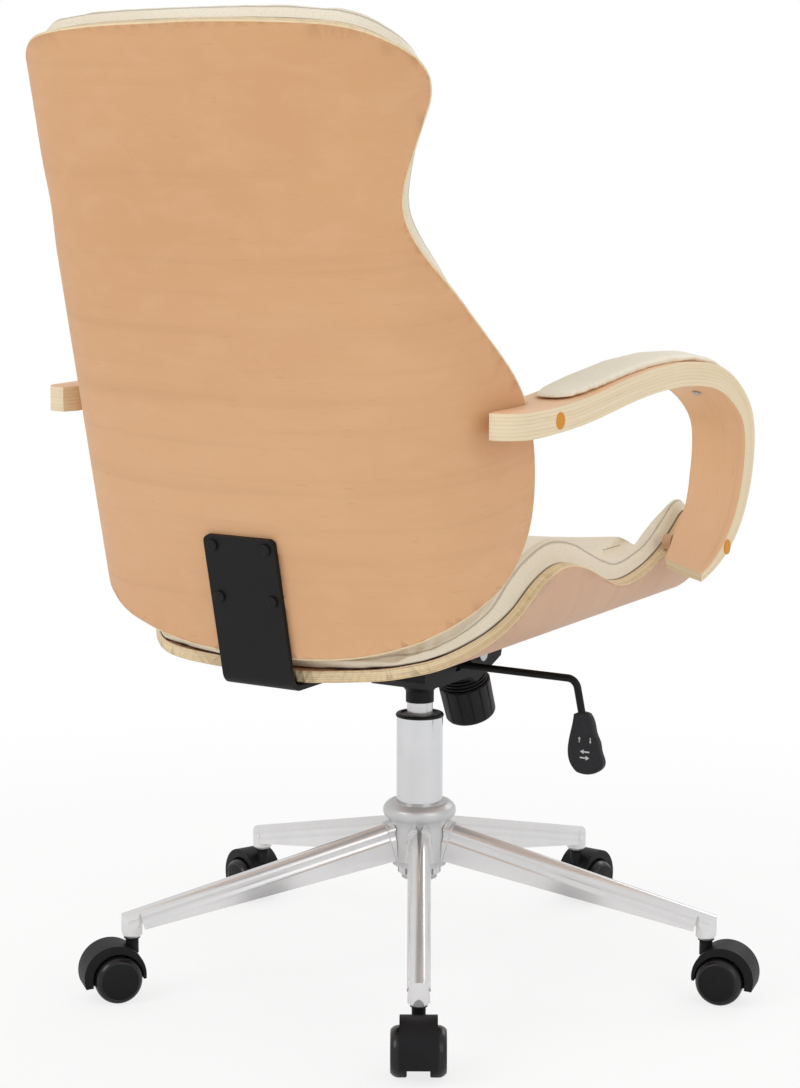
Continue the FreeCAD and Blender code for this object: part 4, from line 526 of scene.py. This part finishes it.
# and back again
def bentPoint(bend, out, along, depth):
    reach = abs(out)
    first = bend["half"] / bend["radius"]
    last = math.radians(bend["angle"])
    bendEnd = bend["half"] + bend["side"] * (last - first)
    angle = reach / bend["radius"]
    x = bend["radius"] * math.sin(min(angle, first))
    rise = bend["radius"] * (1 - math.cos(min(angle, first)))
    if reach > bend["half"]:
        angle = first + min(reach - bend["half"], bendEnd - bend["half"]) / bend["side"]
        x += bend["side"] * (math.sin(angle) - math.sin(first))
        rise += bend["side"] * (math.cos(first) - math.cos(angle))
    if reach > bendEnd:
        x += (reach - bendEnd) * math.cos(last)
        rise += (reach - bendEnd) * math.sin(last)
    x = math.copysign(x - depth * math.sin(angle), out)
    rise += depth * math.cos(angle)
    local = Vector((x, -rise, along)) if bend["upright"] else Vector((x, along, rise))
    return bendFrame(bend) @ local


# a curve through the given points, as many steps between each two
def smoothPath(points, per=8):
    found = []
    ends = [points[0]] + points + [points[-1]]
    for before, start, end, after in zip(ends, ends[1:], ends[2:], ends[3:]):
        for step in range(per):
            t = step / per
            found.append(tuple(0.5 * (2 * b + (c - a) * t + (2 * a - 5 * b + 4 * c - d) * t ** 2
                                      + (3 * b - a - 3 * c + d) * t ** 3)
                               for a, b, c, d in zip(before, start, end, after)))
    return found + [points[-1]]


def writeVectors(piece, name, values):
    layer = piece.data.attributes.new(name, "FLOAT_VECTOR", "POINT")
    layer.data.foreach_set("vector", [number for value in values for number in value])


# plywood shells: the CAD sheets with their veneer laid out
shellSettings = {
    "seatArris": 0.0014, "backArris": 0.0024, "sunk": 0.0011,  # how wide and how deep the rim is sanded
    "shown": 0.14,  # the layer that shows there, as a share of the thickness
    "skin": 0.04, "rim": 0.06, "probe": 0.005, "smooth": 14,
}


def onSkin(bend, centre):
    return layFlat(bend, centre)[2] < shellSettings["skin"] * bend["ply"]


# a face of the outer skin that the inset has folded back on itself
def turnedOver(bend, centre, normal):
    out, along, depth = layFlat(bend, centre)
    probe = shellSettings["probe"]
    outward = bentPoint(bend, out, along, -probe) - bentPoint(bend, out, along, probe)
    return onSkin(bend, centre) and normal.dot(outward) < 0


# The outer face's rim is sanded back, which shows the pale layers under the veneer all round.
# "shift" moves the grain along, so that the two shells aren't cut from one sheet.
def makeShell(node, name, bend, finish, shift, arris):
    piece = copyNode(node, name)
    pickFaces(piece, lambda centre, normal: onSkin(bend, centre))
    bpy.ops.mesh.inset(thickness=arris, use_boundary=True, use_even_offset=True)
    leaveEdit()
    for attempt in range(3):
        pickFaces(piece, lambda centre, normal: turnedOver(bend, centre, normal))
        bpy.ops.mesh.merge(type="COLLAPSE")
        leaveEdit()
    rim = set()
    edge = shellSettings["rim"]
    for face in piece.data.polygons:
        if edge < layFlat(bend, face.center)[2] / bend["ply"] < 1 - edge:
            rim.update(face.vertices)
    values = []
    for vertex in piece.data.vertices:
        out, along, depth = layFlat(bend, vertex.co)
        share = min(1.0, max(0.0, depth / bend["ply"]))
        if vertex.index in rim and share < edge:
            vertex.co = bentPoint(bend, out, along, shellSettings["sunk"])
            share = shellSettings["shown"]
        values.append((out + shift, along, share))
    writeVectors(piece, "sheet", values)
    smoothBy(piece, shellSettings["smooth"])
    dress(piece, finish)
    settle(piece, "seat", [node])


makeShell("seat_shell", "seat_shell_veneered", seatBend, seatPly, 3.0, shellSettings["seatArris"])
makeShell("back_shell", "back_shell_veneered", backBend, shellPly, 0.0, shellSettings["backArris"])
print("shells veneered")


# bentwood arms, sliced along their length so that the layers follow the bend
armSettings = {"arris": 0.0012, "arrisAngle": 55, "slice": 0.012, "side": 0.7, "face": 0.72, "smooth": 30}
armPath = [  # rearward, up, half thickness, in millimetres
    (286.0, 633.5, 12.5), (208.5, 635.5, 12.5), (148.0, 640.5, 12.5), (67.5, 652.0, 12.5),
    (-21.0, 660.0, 12.5), (-87.0, 659.0, 12.5), (-146.0, 649.0, 12.5), (-191.0, 626.0, 12.5),
    (-214.0, 601.0, 12.5), (-219.0, 574.0, 12.3), (-214.5, 542.0, 11.5), (-202.0, 511.0, 10.3),
    (-178.0, 481.0, 8.5), (-140.0, 456.0, 5.5), (-100.0, 443.0, 4.0),
]
armLine = [(a * millimetre, b * millimetre, c * millimetre) for a, b, c in smoothPath(armPath)]


# how far along the arm's middle line a point is, where in the thickness, and the way square to it
def onArm(point):
    best = None
    run = 0.0
    for (y1, z1, h1), (y2, z2, h2) in zip(armLine, armLine[1:]):
        dy, dz = y2 - y1, z2 - z1
        length = math.hypot(dy, dz)
        share = ((point.y - y1) * dy + (point.z - z1) * dz) / length ** 2
        clipped = min(1.0, max(0.0, share))
        away = math.hypot(point.y - y1 - dy * clipped, point.z - z1 - dz * clipped)
        if best is None or away < best[0]:
            side = ((point.y - y1) * dz - (point.z - z1) * dy) / length
            half = h1 + (h2 - h1) * clipped
            best = (away, run + share * length, 0.5 + 0.5 * side / half, Vector((0, dz, -dy)) / length)
        run += length
    return best[1:]


def makeArm(node, name):
    piece = copyNode(node, name)
    applyModifier(piece, "BEVEL", width=armSettings["arris"], segments=2, limit_method="ANGLE",
                  angle_limit=math.radians(armSettings["arrisAngle"]), harden_normals=False)
    workOn(piece)
    low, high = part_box(node)
    for axis, start, end in (("y", low.y, high.y), ("z", low.z, high.z)):
        count = int((end - start) / armSettings["slice"])
        for number in range(1, count):
            place = start + (end - start) * number / count
            pickFaces(piece, lambda centre, normal: abs(normal.x) > armSettings["side"])
            spot = (0, place, 0) if axis == "y" else (0, 0, place)
            way = (0, 1, 0) if axis == "y" else (0, 0, 1)
            bpy.ops.mesh.bisect(plane_co=spot, plane_no=way)
    leaveEdit()
    values = []
    for vertex in piece.data.vertices:
        run, share, square = onArm(vertex.co)
        values.append((run, vertex.co.x, min(1.0, max(0.0, share))))
    writeVectors(piece, "sheet", values)
    sawn = piece.data.attributes.new("sawn", "FLOAT", "FACE")
    for face, mark in zip(piece.data.polygons, sawn.data):
        square = onArm(face.center)[2]
        mark.value = 1.0 if abs(face.normal.dot(square)) < armSettings["face"] else 0.0
    smoothBy(piece, armSettings["smooth"])
    dress(piece, armPly)
    settle(piece, "seat", [node])


makeArm("arm_right", "arm_right_veneered")
makeArm("arm_left", "arm_left_veneered")
print("arms veneered")


# Cushions: the CAD forms blown up a little as cloth, then sewn. "swell" is how far the edge bulges
# out, by the share in "clear" at each place along the shell, and "crown" is how far the top rises.
cushionSettings = {
    "seat": {
        "voxel": 0.005, "soften": 4, "pressure": 4.0, "cap": 0.007, "swell": 0.021,
        "clear": [(-0.40, 0.45), (-0.15, 0.45), (-0.06, 1.0), (0.13, 1.0), (0.21, 0.4), (0.40, 0.4)],
        "crown": [(-0.25, 0.020), (-0.18, 0.025), (-0.10, 0.015), (0.0, 0.005), (0.10, 0.002),
                  (0.16, 0.0)]},
    "back": {
        "voxel": 0.005, "soften": 4, "pressure": 4.0, "cap": 0.007, "swell": 0.011,
        "clear": [(-0.20, 0.0), (-0.06, 0.0), (-0.02, 0.5), (0.04, 0.5), (0.065, 0.0), (0.17, 0.0),
                  (0.20, 0.8), (0.23, 1.0), (0.42, 1.0), (0.47, 0.85), (0.60, 0.85)],
        "crown": [(-0.20, 0.0), (0.60, 0.0)]},
    "pad": {"voxel": 0.0026, "soften": 6, "pressure": 3.0, "cap": 0.0010},
}
clothSettings = {
    "quality": 5, "mass": 0.4, "tension_stiffness": 25, "compression_stiffness": 25,
    "shear_stiffness": 12, "bending_stiffness": 2.5, "use_pressure": True, "vertex_group_mass": "held",
}
clothFrames = 20


def puff(piece, settings, hold):
    voxel = settings["voxel"] * 1
    applyModifier(piece, "REMESH", mode="VOXEL", voxel_size=voxel, use_smooth_shade=True)
    applyModifier(piece, "SMOOTH", factor=0.5, iterations=settings["soften"])
    start = [vertex.co.copy() for vertex in piece.data.vertices]
    group = piece.vertex_groups.new(name="held")
    for index, spot in enumerate(start):
        if hold(spot):
            group.add([index], 1.0, "REPLACE")
    workOn(piece)
    modifier = piece.modifiers.new("Cloth", "CLOTH")
    for key, value in clothSettings.items():
        setattr(modifier.settings, key, value)
    modifier.settings.uniform_pressure_force = settings["pressure"]
    modifier.settings.effector_weights.gravity = 0
    modifier.point_cache.frame_start = 1
    modifier.point_cache.frame_end = clothFrames
    for step in range(1, clothFrames + 1):
        bpy.context.scene.frame_set(step)
    bpy.ops.object.modifier_apply(modifier=modifier.name)
    bpy.context.scene.frame_set(1)
    for vertex, spot in zip(piece.data.vertices, start):
        moved = vertex.co - spot
        if moved.length > settings["cap"]:
            vertex.co = spot + moved.normalized() * settings["cap"]
    applyModifier(piece, "SUBSURF", levels=1, render_levels=1)


# the rim of a shell as close points on its flat outline, with the run along it and the way out
def rimTree(bend):
    half = smoothPath([(out * millimetre, along * millimetre) for out, along in bend["rim"]], 12)
    whole = half + [(-out, along) for out, along in reversed(half)]
    points = []
    run = 0.0
    for (x1, y1), (x2, y2) in zip(whole, whole[1:]):
        length = math.hypot(x2 - x1, y2 - y1)
        if length < 0.00001:
            continue
        steps = max(1, int(length / millimetre))
        away = ((y1 - y2) / length, (x2 - x1) / length)
        points += [(x1 + (x2 - x1) * i / steps, y1 + (y2 - y1) * i / steps,
                    run + length * i / steps, away) for i in range(steps)]
        run += length
    tree = KDTree(len(points))
    for index, point in enumerate(points):
        tree.insert((point[0], point[1], 0), index)
    tree.balance()
    return tree, points


# the value at a place along the shell, read off a list of (place, value)
def valueAt(stops, place):
    for (start, low), (end, high) in zip(stops, stops[1:]):
        if start <= place <= end:
            return low + (high - low) * (place - start) / (end - start)
    return stops[0][1] if place < stops[0][0] else stops[-1][1]


def ease(value, low, high):
    share = min(1.0, max(0.0, (value - low) / (high - low)))
    return share * share * (3 - 2 * share)


def valley(distance, width):
    share = distance / width
    return (1 - share) ** 2 * (1 + 2 * share) if share < 1 else 0.0


# distances in from the rim, heights over the ply and depths of the pressed lines
sewing = {
    "lift": 0.0004, "held": 0.003, "crownIn": (0.02, 0.11), "crownUp": (0.0015, 0.02),
    "edgeIn": (0.004, 0.035), "swellUp": (0.0015, 0.012), "free": 0.02,
    "weltIn": 0.026, "weltDepth": 0.0011, "weltWidth": 0.0035,
    "lineUp": 0.012, "lineDepth": 0.0022, "lineWidth": 0.007,
}


# a cushion on its shell: flat underneath, pressed in along its welt line and its stitched line
def makeCushion(node, name, settings, bend, line=()):
    piece = copyNode(node, name)
    base = bend["ply"] + sewing["lift"]
    puff(piece, settings, lambda spot: layFlat(bend, spot)[2] < base + sewing["held"])
    mesh = piece.data
    mesh.update()
    tree, rim = rimTree(bend)
    pressed = KDTree(max(1, len(line)))
    for index, (out, along) in enumerate(line):
        pressed.insert((out, along, 0), index)
    pressed.balance()
    for vertex in mesh.vertices:
        out, along, depth = layFlat(bend, vertex.co)
        depth = max(depth, base)
        nearX, nearY, run, away = rim[tree.find((out, along, 0))[1]]
        inward = (nearX - out) * away[0] + (nearY - along) * away[1]
        crown = valueAt(settings["crown"], along)
        depth += crown * ease(inward, *sewing["crownIn"]) * ease(depth - base, *sewing["crownUp"])
        clear = valueAt(settings["clear"], along)
        pull = (1 - ease(inward, *sewing["edgeIn"])) * (1 if clear > sewing["free"] else 0)
        swell = settings["swell"] * ease(depth - base, *sewing["swellUp"]) * clear
        out += away[0] * (inward + swell) * pull
        along += away[1] * (inward + swell) * pull
        vertex.co = bentPoint(bend, out, along, depth)
    mesh.update()
    normals = [vertex.normal.copy() for vertex in mesh.vertices]
    values = []
    for vertex, normal in zip(mesh.vertices, normals):
        out, along, depth = layFlat(bend, vertex.co)
        index, inward = tree.find((out, along, 0))[1:]
        height = max(0.0, depth - base)
        values.append((height, inward, rim[index][2]))
        if inward < sewing["weltIn"]:
            away = abs(height - weltHeight)
            vertex.co -= normal * sewing["weltDepth"] * valley(away, sewing["weltWidth"])
        if line and height > sewing["lineUp"]:
            away = pressed.find((out, along, 0))[2]
            vertex.co -= normal * sewing["lineDepth"] * valley(away, sewing["lineWidth"])
    writeVectors(piece, "sewn", values)
    workOn(piece)
    bpy.ops.object.shade_smooth()
    dress(piece, cushionLeather)
    settle(piece, "seat", [node])
    return piece


stitchSettings = {
    "pitch": 0.0055, "length": 0.0036, "radius": 0.00045, "smooth": 40,
    "above": 0.085, "reach": 0.08, "level": 0.04,
    "line": [(240, -112), (238, -140), (231, -172), (214, -200), (182, -216), (130, -224), (60, -228),
             (0, -229)],
}
stitchPoints = [(out * millimetre, along * millimetre) for out, along in stitchSettings["line"]]
halfLine = smoothPath(stitchPoints, 30)
stitchLine = halfLine + [(-out, along) for out, along in reversed(halfLine[:-1])]

seatPad = makeCushion("seat_cushion", "seat_cushion_sewn", cushionSettings["seat"], seatBend, stitchLine)
makeCushion("back_cushion", "back_cushion_sewn", cushionSettings["back"], backBend)
print("cushions sewn")


# one stitch, copied along the line pressed into the seat cushion
def makeStitches():
    pickNothing()
    bpy.ops.mesh.primitive_cylinder_add(vertices=8, radius=stitchSettings["radius"],
                                        depth=stitchSettings["length"], location=(0, 0, 0))
    first = nameIt("seat_stitches")
    bpy.ops.object.mode_set(mode="EDIT")
    bpy.ops.mesh.select_all(action="SELECT")
    bpy.ops.mesh.bevel(offset=stitchSettings["radius"] * 0.6, segments=2)
    leaveEdit()
    surface = BVHTree.FromPolygons([vertex.co for vertex in seatPad.data.vertices],
                                   [face.vertices[:] for face in seatPad.data.polygons])
    placed = []
    travelled = 0.0
    for before, after in zip(stitchLine, stitchLine[1:]):
        travelled += math.hypot(after[0] - before[0], after[1] - before[1])
        if travelled < stitchSettings["pitch"]:
            continue
        travelled = 0.0
        above = bentPoint(seatBend, *after, stitchSettings["above"])
        below = bentPoint(seatBend, *after, seatBend["ply"])
        down = (below - above).normalized()
        hit, normal = surface.ray_cast(above, down, stitchSettings["reach"])[:2]
        if hit is None:
            continue
        level = stitchSettings["level"]
        way = (bentPoint(seatBend, *after, level) - bentPoint(seatBend, *before, level)).normalized()
        side = normal.cross(way).normalized()
        turn = Matrix((side, way.cross(side), way)).transposed().to_4x4()
        placed.append(Matrix.Translation(hit) @ turn)
    copies = []
    for place in placed:
        copied = first.copy()
        copied.data = first.data.copy()
        copied.matrix_world = place
        bpy.context.scene.collection.objects.link(copied)
        copies.append(copied)
    bpy.data.objects.remove(first)
    workOn(*copies)
    bpy.ops.object.join()
    piece = nameIt("seat_stitches")
    freeze(piece)
    smoothBy(piece, stitchSettings["smooth"])
    dress(piece, thread)
    settle(piece, "seat")


makeStitches()
print("stitches placed")


def makePad(node, name):
    piece = copyNode(node, name)
    puff(piece, cushionSettings["pad"], lambda spot: False)
    workOn(piece)
    bpy.ops.object.shade_smooth()
    dress(piece, leather)
    settle(piece, "seat", [node])


makePad("arm_pad_right", "arm_pad_right_sewn")
makePad("arm_pad_left", "arm_pad_left_sewn")
print("arm pads sewn")


# twin wheels: the radius at each point tells the cap from the shoulder and the tread
wheelSettings = {"smooth": 40}


def middleOf(node):
    low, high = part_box(node)
    return (low + high) / 2


for number in five:
    between = middleOf(f"wheel_b_{number}") - middleOf(f"wheel_a_{number}")
    for letter, body, sign in (("a", "left", -1), ("b", "right", 1)):
        node = f"wheel_{letter}_{number}"
        piece = copyNode(node, f"{node}_moulded")
        axle = between.normalized() * sign
        centre = middleOf(node)
        values = []
        for vertex in piece.data.vertices:
            reach = vertex.co - centre
            outward = reach.dot(axle)
            values.append(((reach - axle * outward).length, 1.0 if outward > 0 else 0.0, outward))
        writeVectors(piece, "turned", values)
        smoothBy(piece, wheelSettings["smooth"])
        dress(piece, wheelPlastic)
        settle(piece, f"wheel_{body}_{number}", [node])
print("wheels moulded")


# the turned plugs stand a little proud of the arms, with a domed face
plugSettings = {
    "radius": 0.0080, "height": 0.0040, "proud": 0.0007, "smooth": 50,
    "dome": [(0.0009, 0.0003), (0.0027, 0.0002)],  # in from the edge, and up
}


# the middles of a node's separate solids, which lie well apart
def looseSpots(node, apart=0.03):
    found = []
    for vertex in cad[node].data.vertices:
        for spot in found:
            if (spot[0] / spot[1] - vertex.co).length < apart:
                spot[0] += vertex.co
                spot[1] += 1
                break
        else:
            found.append([vertex.co.copy(), 1])
    return [total / count for total, count in found]


def makePlugs():
    made = []
    for spot in looseSpots("arm_plugs"):
        side = math.copysign(1, spot.x)
        low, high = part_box("arm_left" if side > 0 else "arm_right")
        face = high.x if side > 0 else low.x
        pickNothing()
        middle = face + side * (plugSettings["proud"] - plugSettings["height"] / 2)
        bpy.ops.mesh.primitive_cylinder_add(
            vertices=48, radius=plugSettings["radius"], depth=plugSettings["height"],
            rotation=(0, math.radians(90), 0), location=(middle, spot.y, spot.z))
        plug = freeze(nameIt("plug"))
        pickFaces(plug, lambda centre, normal: normal.x * side > 0.9)
        for edge, rise in plugSettings["dome"]:
            bpy.ops.mesh.inset(thickness=edge)
            bpy.ops.transform.translate(value=(side * rise, 0, 0))
        leaveEdit()
        made.append(plug)
    workOn(*made)
    bpy.ops.object.join()
    piece = freeze(nameIt("arm_plugs_domed"))
    smoothBy(piece, plugSettings["smooth"])
    dress(piece, plugWood)
    settle(piece, "seat", ["arm_plugs"])


makePlugs()


# cross recesses in the zinc screws under the arms
recess = {
    "reach": 0.0052, "width": 0.0011, "depth": 0.0016, "turn": 20, "head": 0.006, "smooth": 30,
    "across": 0.2505, "places": (0.1090, -0.15005),
}


def makePadScrews():
    piece = copyNode("pad_screws", "pad_screws_driven")
    size = (recess["reach"], recess["width"], recess["depth"] * 2)
    spots = [(x, y) for x in (recess["across"], -recess["across"]) for y in recess["places"]]
    for x, y in spots:
        near = [vertex.co.z for vertex in piece.data.vertices
                if math.hypot(vertex.co.x - x, vertex.co.y - y) < recess["head"]]
        for turn in (0, 90):
            pickNothing()
            bpy.ops.mesh.primitive_cube_add(size=1, location=(x, y, min(near)),
                                            rotation=(0, 0, math.radians(turn + recess["turn"])))
            cutter = freeze(nameIt("recess_cutter"), size)
            applyModifier(piece, "BOOLEAN", object=cutter, operation="DIFFERENCE", solver="EXACT")
            bpy.data.objects.remove(cutter)
    smoothBy(piece, recess["smooth"])
    dress(piece, zinc)
    settle(piece, "seat", ["pad_screws"])


makePadScrews()


# turned wooden spacers on the front arm bolts, between each arm's foot and the seat shell
spacer = {
    "radius": 0.0085, "bore": 0.0036, "inner": 0.2085, "outer": 0.2188, "arris": 0.0006,
    "arrisAngle": 50, "smooth": 40,
}


def makeSpacers():
    made = []
    for spot in looseSpots("arm_plugs"):
        if spot.y > 0:  # the rear plugs
            continue
        side = math.copysign(1, spot.x)
        pickNothing()
        bpy.ops.mesh.primitive_circle_add(vertices=40, radius=spacer["radius"],
                                          rotation=(0, math.radians(90), 0),
                                          location=(side * spacer["inner"], spot.y, spot.z))
        ring = freeze(nameIt("spacer"))
        bpy.ops.object.mode_set(mode="EDIT")
        bpy.ops.mesh.select_mode(type="VERT")
        bpy.ops.mesh.select_all(action="SELECT")
        length = side * (spacer["outer"] - spacer["inner"])
        bpy.ops.mesh.extrude_region_move(TRANSFORM_OT_translate={"value": (length, 0, 0)})
        bpy.ops.mesh.select_all(action="SELECT")
        bpy.ops.mesh.normals_make_consistent(inside=False)
        leaveEdit()
        applyModifier(ring, "SOLIDIFY", thickness=spacer["radius"] - spacer["bore"], offset=-1.0)
        applyModifier(ring, "BEVEL", width=spacer["arris"], segments=2, limit_method="ANGLE",
                      angle_limit=math.radians(spacer["arrisAngle"]))
        made.append(ring)
    workOn(*made)
    bpy.ops.object.join()
    piece = freeze(nameIt("arm_foot_spacers"))
    smoothBy(piece, spacer["smooth"])
    writeVectors(piece, "sheet", [(vertex.co.y, vertex.co.z, 0.0) for vertex in piece.data.vertices])
    dress(piece, seatPly)
    settle(piece, "seat")


makeSpacers()


# plain arrows printed on the lever's paddle, up, down and both ways
printSettings = {
    "lift": 0.00012, "thick": 0.00016,
    "arrows": [  # across and up from the paddle's middle, length, turn
        (-0.0065, 0.0040, 0.0062, 90), (0.0065, 0.0040, 0.0062, -90),
        (0.0, -0.0085, 0.0110, 0), (0.0, -0.0150, 0.0110, 180)],
}


def makeArrows():
    low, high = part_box("lever_paddle")
    middle = (low + high) / 2
    made = []
    for across, up, length, turn in printSettings["arrows"]:
        pickNothing()
        bpy.ops.mesh.primitive_plane_add(size=1, location=(-length * 0.18, 0, 0))
        shaft = freeze(nameIt("arrow_shaft"), (length * 0.64, length * 0.14, 1))
        pickNothing()
        bpy.ops.mesh.primitive_circle_add(vertices=3, radius=length * 0.26, fill_type="NGON",
                                          location=(length * 0.24, 0, 0),
                                          rotation=(0, 0, math.radians(-90)))
        headPiece = nameIt("arrow_head")
        workOn(shaft, headPiece)
        bpy.ops.object.join()
        arrow = nameIt("arrow")
        freeze(arrow)
        flat = Matrix.Rotation(math.radians(turn), 4, "Z")
        upright = Matrix.Rotation(math.radians(-90), 4, "X")
        spot = Vector((middle.x + across, high.y + printSettings["lift"], middle.z + up))
        arrow.matrix_world = Matrix.Translation(spot) @ upright @ flat
        freeze(arrow)
        made.append(arrow)
    workOn(*made)
    bpy.ops.object.join()
    piece = nameIt("paddle_arrows")
    applyModifier(piece, "SOLIDIFY", thickness=printSettings["thick"], offset=0.0)
    freeze(piece)
    dress(piece, paint)
    settle(piece, "lever")


makeArrows()
print("screws and arrows made")


# studio: a wide white floor that fades to pure white, an even sky and three soft lamps
studio = {
    "floorSize": 60.0, "floorColour": (246, 246, 246), "floorGrain": (238, 238, 238),
    "glow": 0.78, "fade": (0.55, 1.5), "sky": 0.74,
    "lamps": [  # name, place, aim, size, power
        ("key_lamp", (1.2, 3.0, 2.6), (0, 0, 0.5), (1.8, 1.8), 30.0),
        ("fill_lamp", (-3.2, 1.2, 1.8), (0, 0, 0.5), (2.2, 2.2), 16.0),
        ("rim_lamp", (-0.6, -2.8, 2.4), (0, 0, 0.6), (2.0, 1.4), 18.0)],
    "camera": {"lens": 114.72, "shift": -0.0255, "place": (-1.4223, 2.2931, 0.8672),
               "way": (0.5215, -0.8408, -0.1457), "roll": 0.00346},
}


def makeFloor():
    pickNothing()
    bpy.ops.mesh.primitive_plane_add(size=studio["floorSize"], location=(0, 0, 0))
    floor = nameIt("studio_floor")
    freeze(floor)
    finish = Finish("studio_floor_paint", Roughness=0.8)
    where = finish.here()
    grain = finish.noiseAt(where, 60.0, 2.0)
    plain, speck = tint(*studio["floorColour"]), tint(*studio["floorGrain"])
    finish.set("Base Color", finish.mixed(grain * 0.12, plain, speck))
    glow = finish.node("ShaderNodeEmission", {}, {"Color": (1, 1, 1, 1), "Strength": 1.0})
    seen = finish.node("ShaderNodeLightPath", {}, {}, out="Is Camera Ray")
    away = finish.node("ShaderNodeVectorMath", {"operation": "LENGTH"}, {0: where}, out="Value")
    far = finish.step(away, *studio["fade"])
    share = seen * (studio["glow"] + (1 - studio["glow"]) * far)
    painted = Signal(finish, finish.shader.outputs[0])
    both = finish.node("ShaderNodeMixShader", {}, {0: share, 1: painted, 2: glow})
    finish.tree.links.new(both.socket, finish.output.inputs["Surface"])
    dress(floor, finish.material)


def makeSky():
    world = bpy.data.worlds.new("studio_sky")
    bpy.context.scene.world = world
    world.use_nodes = True
    tree = world.node_tree
    tree.nodes.clear()
    output = tree.nodes.new("ShaderNodeOutputWorld")
    lit = tree.nodes.new("ShaderNodeBackground")
    lit.inputs["Color"].default_value = (1.0, 1.0, 1.0, 1.0)
    lit.inputs["Strength"].default_value = studio["sky"]
    seen = tree.nodes.new("ShaderNodeBackground")
    seen.inputs["Color"].default_value = (1.0, 1.0, 1.0, 1.0)
    seen.inputs["Strength"].default_value = 1.0
    path = tree.nodes.new("ShaderNodeLightPath")
    mix = tree.nodes.new("ShaderNodeMixShader")
    tree.links.new(path.outputs["Is Camera Ray"], mix.inputs[0])
    tree.links.new(lit.outputs[0], mix.inputs[1])
    tree.links.new(seen.outputs[0], mix.inputs[2])
    tree.links.new(mix.outputs[0], output.inputs["Surface"])


def addLamp(name, place, aim, size, power):
    lamp = bpy.data.lights.new(name, "AREA")
    lamp.shape = "RECTANGLE"
    lamp.size, lamp.size_y = size
    lamp.energy = power
    holder = bpy.data.objects.new(name, lamp)
    bpy.context.scene.collection.objects.link(holder)
    holder.location = place
    holder.rotation_euler = (Vector(aim) - Vector(place)).to_track_quat("-Z", "Y").to_euler()


def makeCamera():
    settings = studio["camera"]
    data = bpy.data.cameras.new("photo_camera")
    data.sensor_fit = "HORIZONTAL"
    data.sensor_width = 36.0
    data.lens = settings["lens"]
    data.shift_x = settings["shift"]
    data.clip_end = 80.0
    holder = bpy.data.objects.new("photo_camera", data)
    bpy.context.scene.collection.objects.link(holder)
    holder.location = settings["place"]
    look = Vector(settings["way"]).to_track_quat("-Z", "Y").to_matrix().to_4x4()
    roll = Matrix.Rotation(settings["roll"], 4, "Z")
    holder.matrix_world = Matrix.Translation(holder.location) @ look @ roll
    bpy.context.scene.camera = holder


makeFloor()
makeSky()
for lamp in studio["lamps"]:
    addLamp(*lamp)
makeCamera()
bpy.context.scene.view_settings.view_transform = "Standard"
print("studio set")
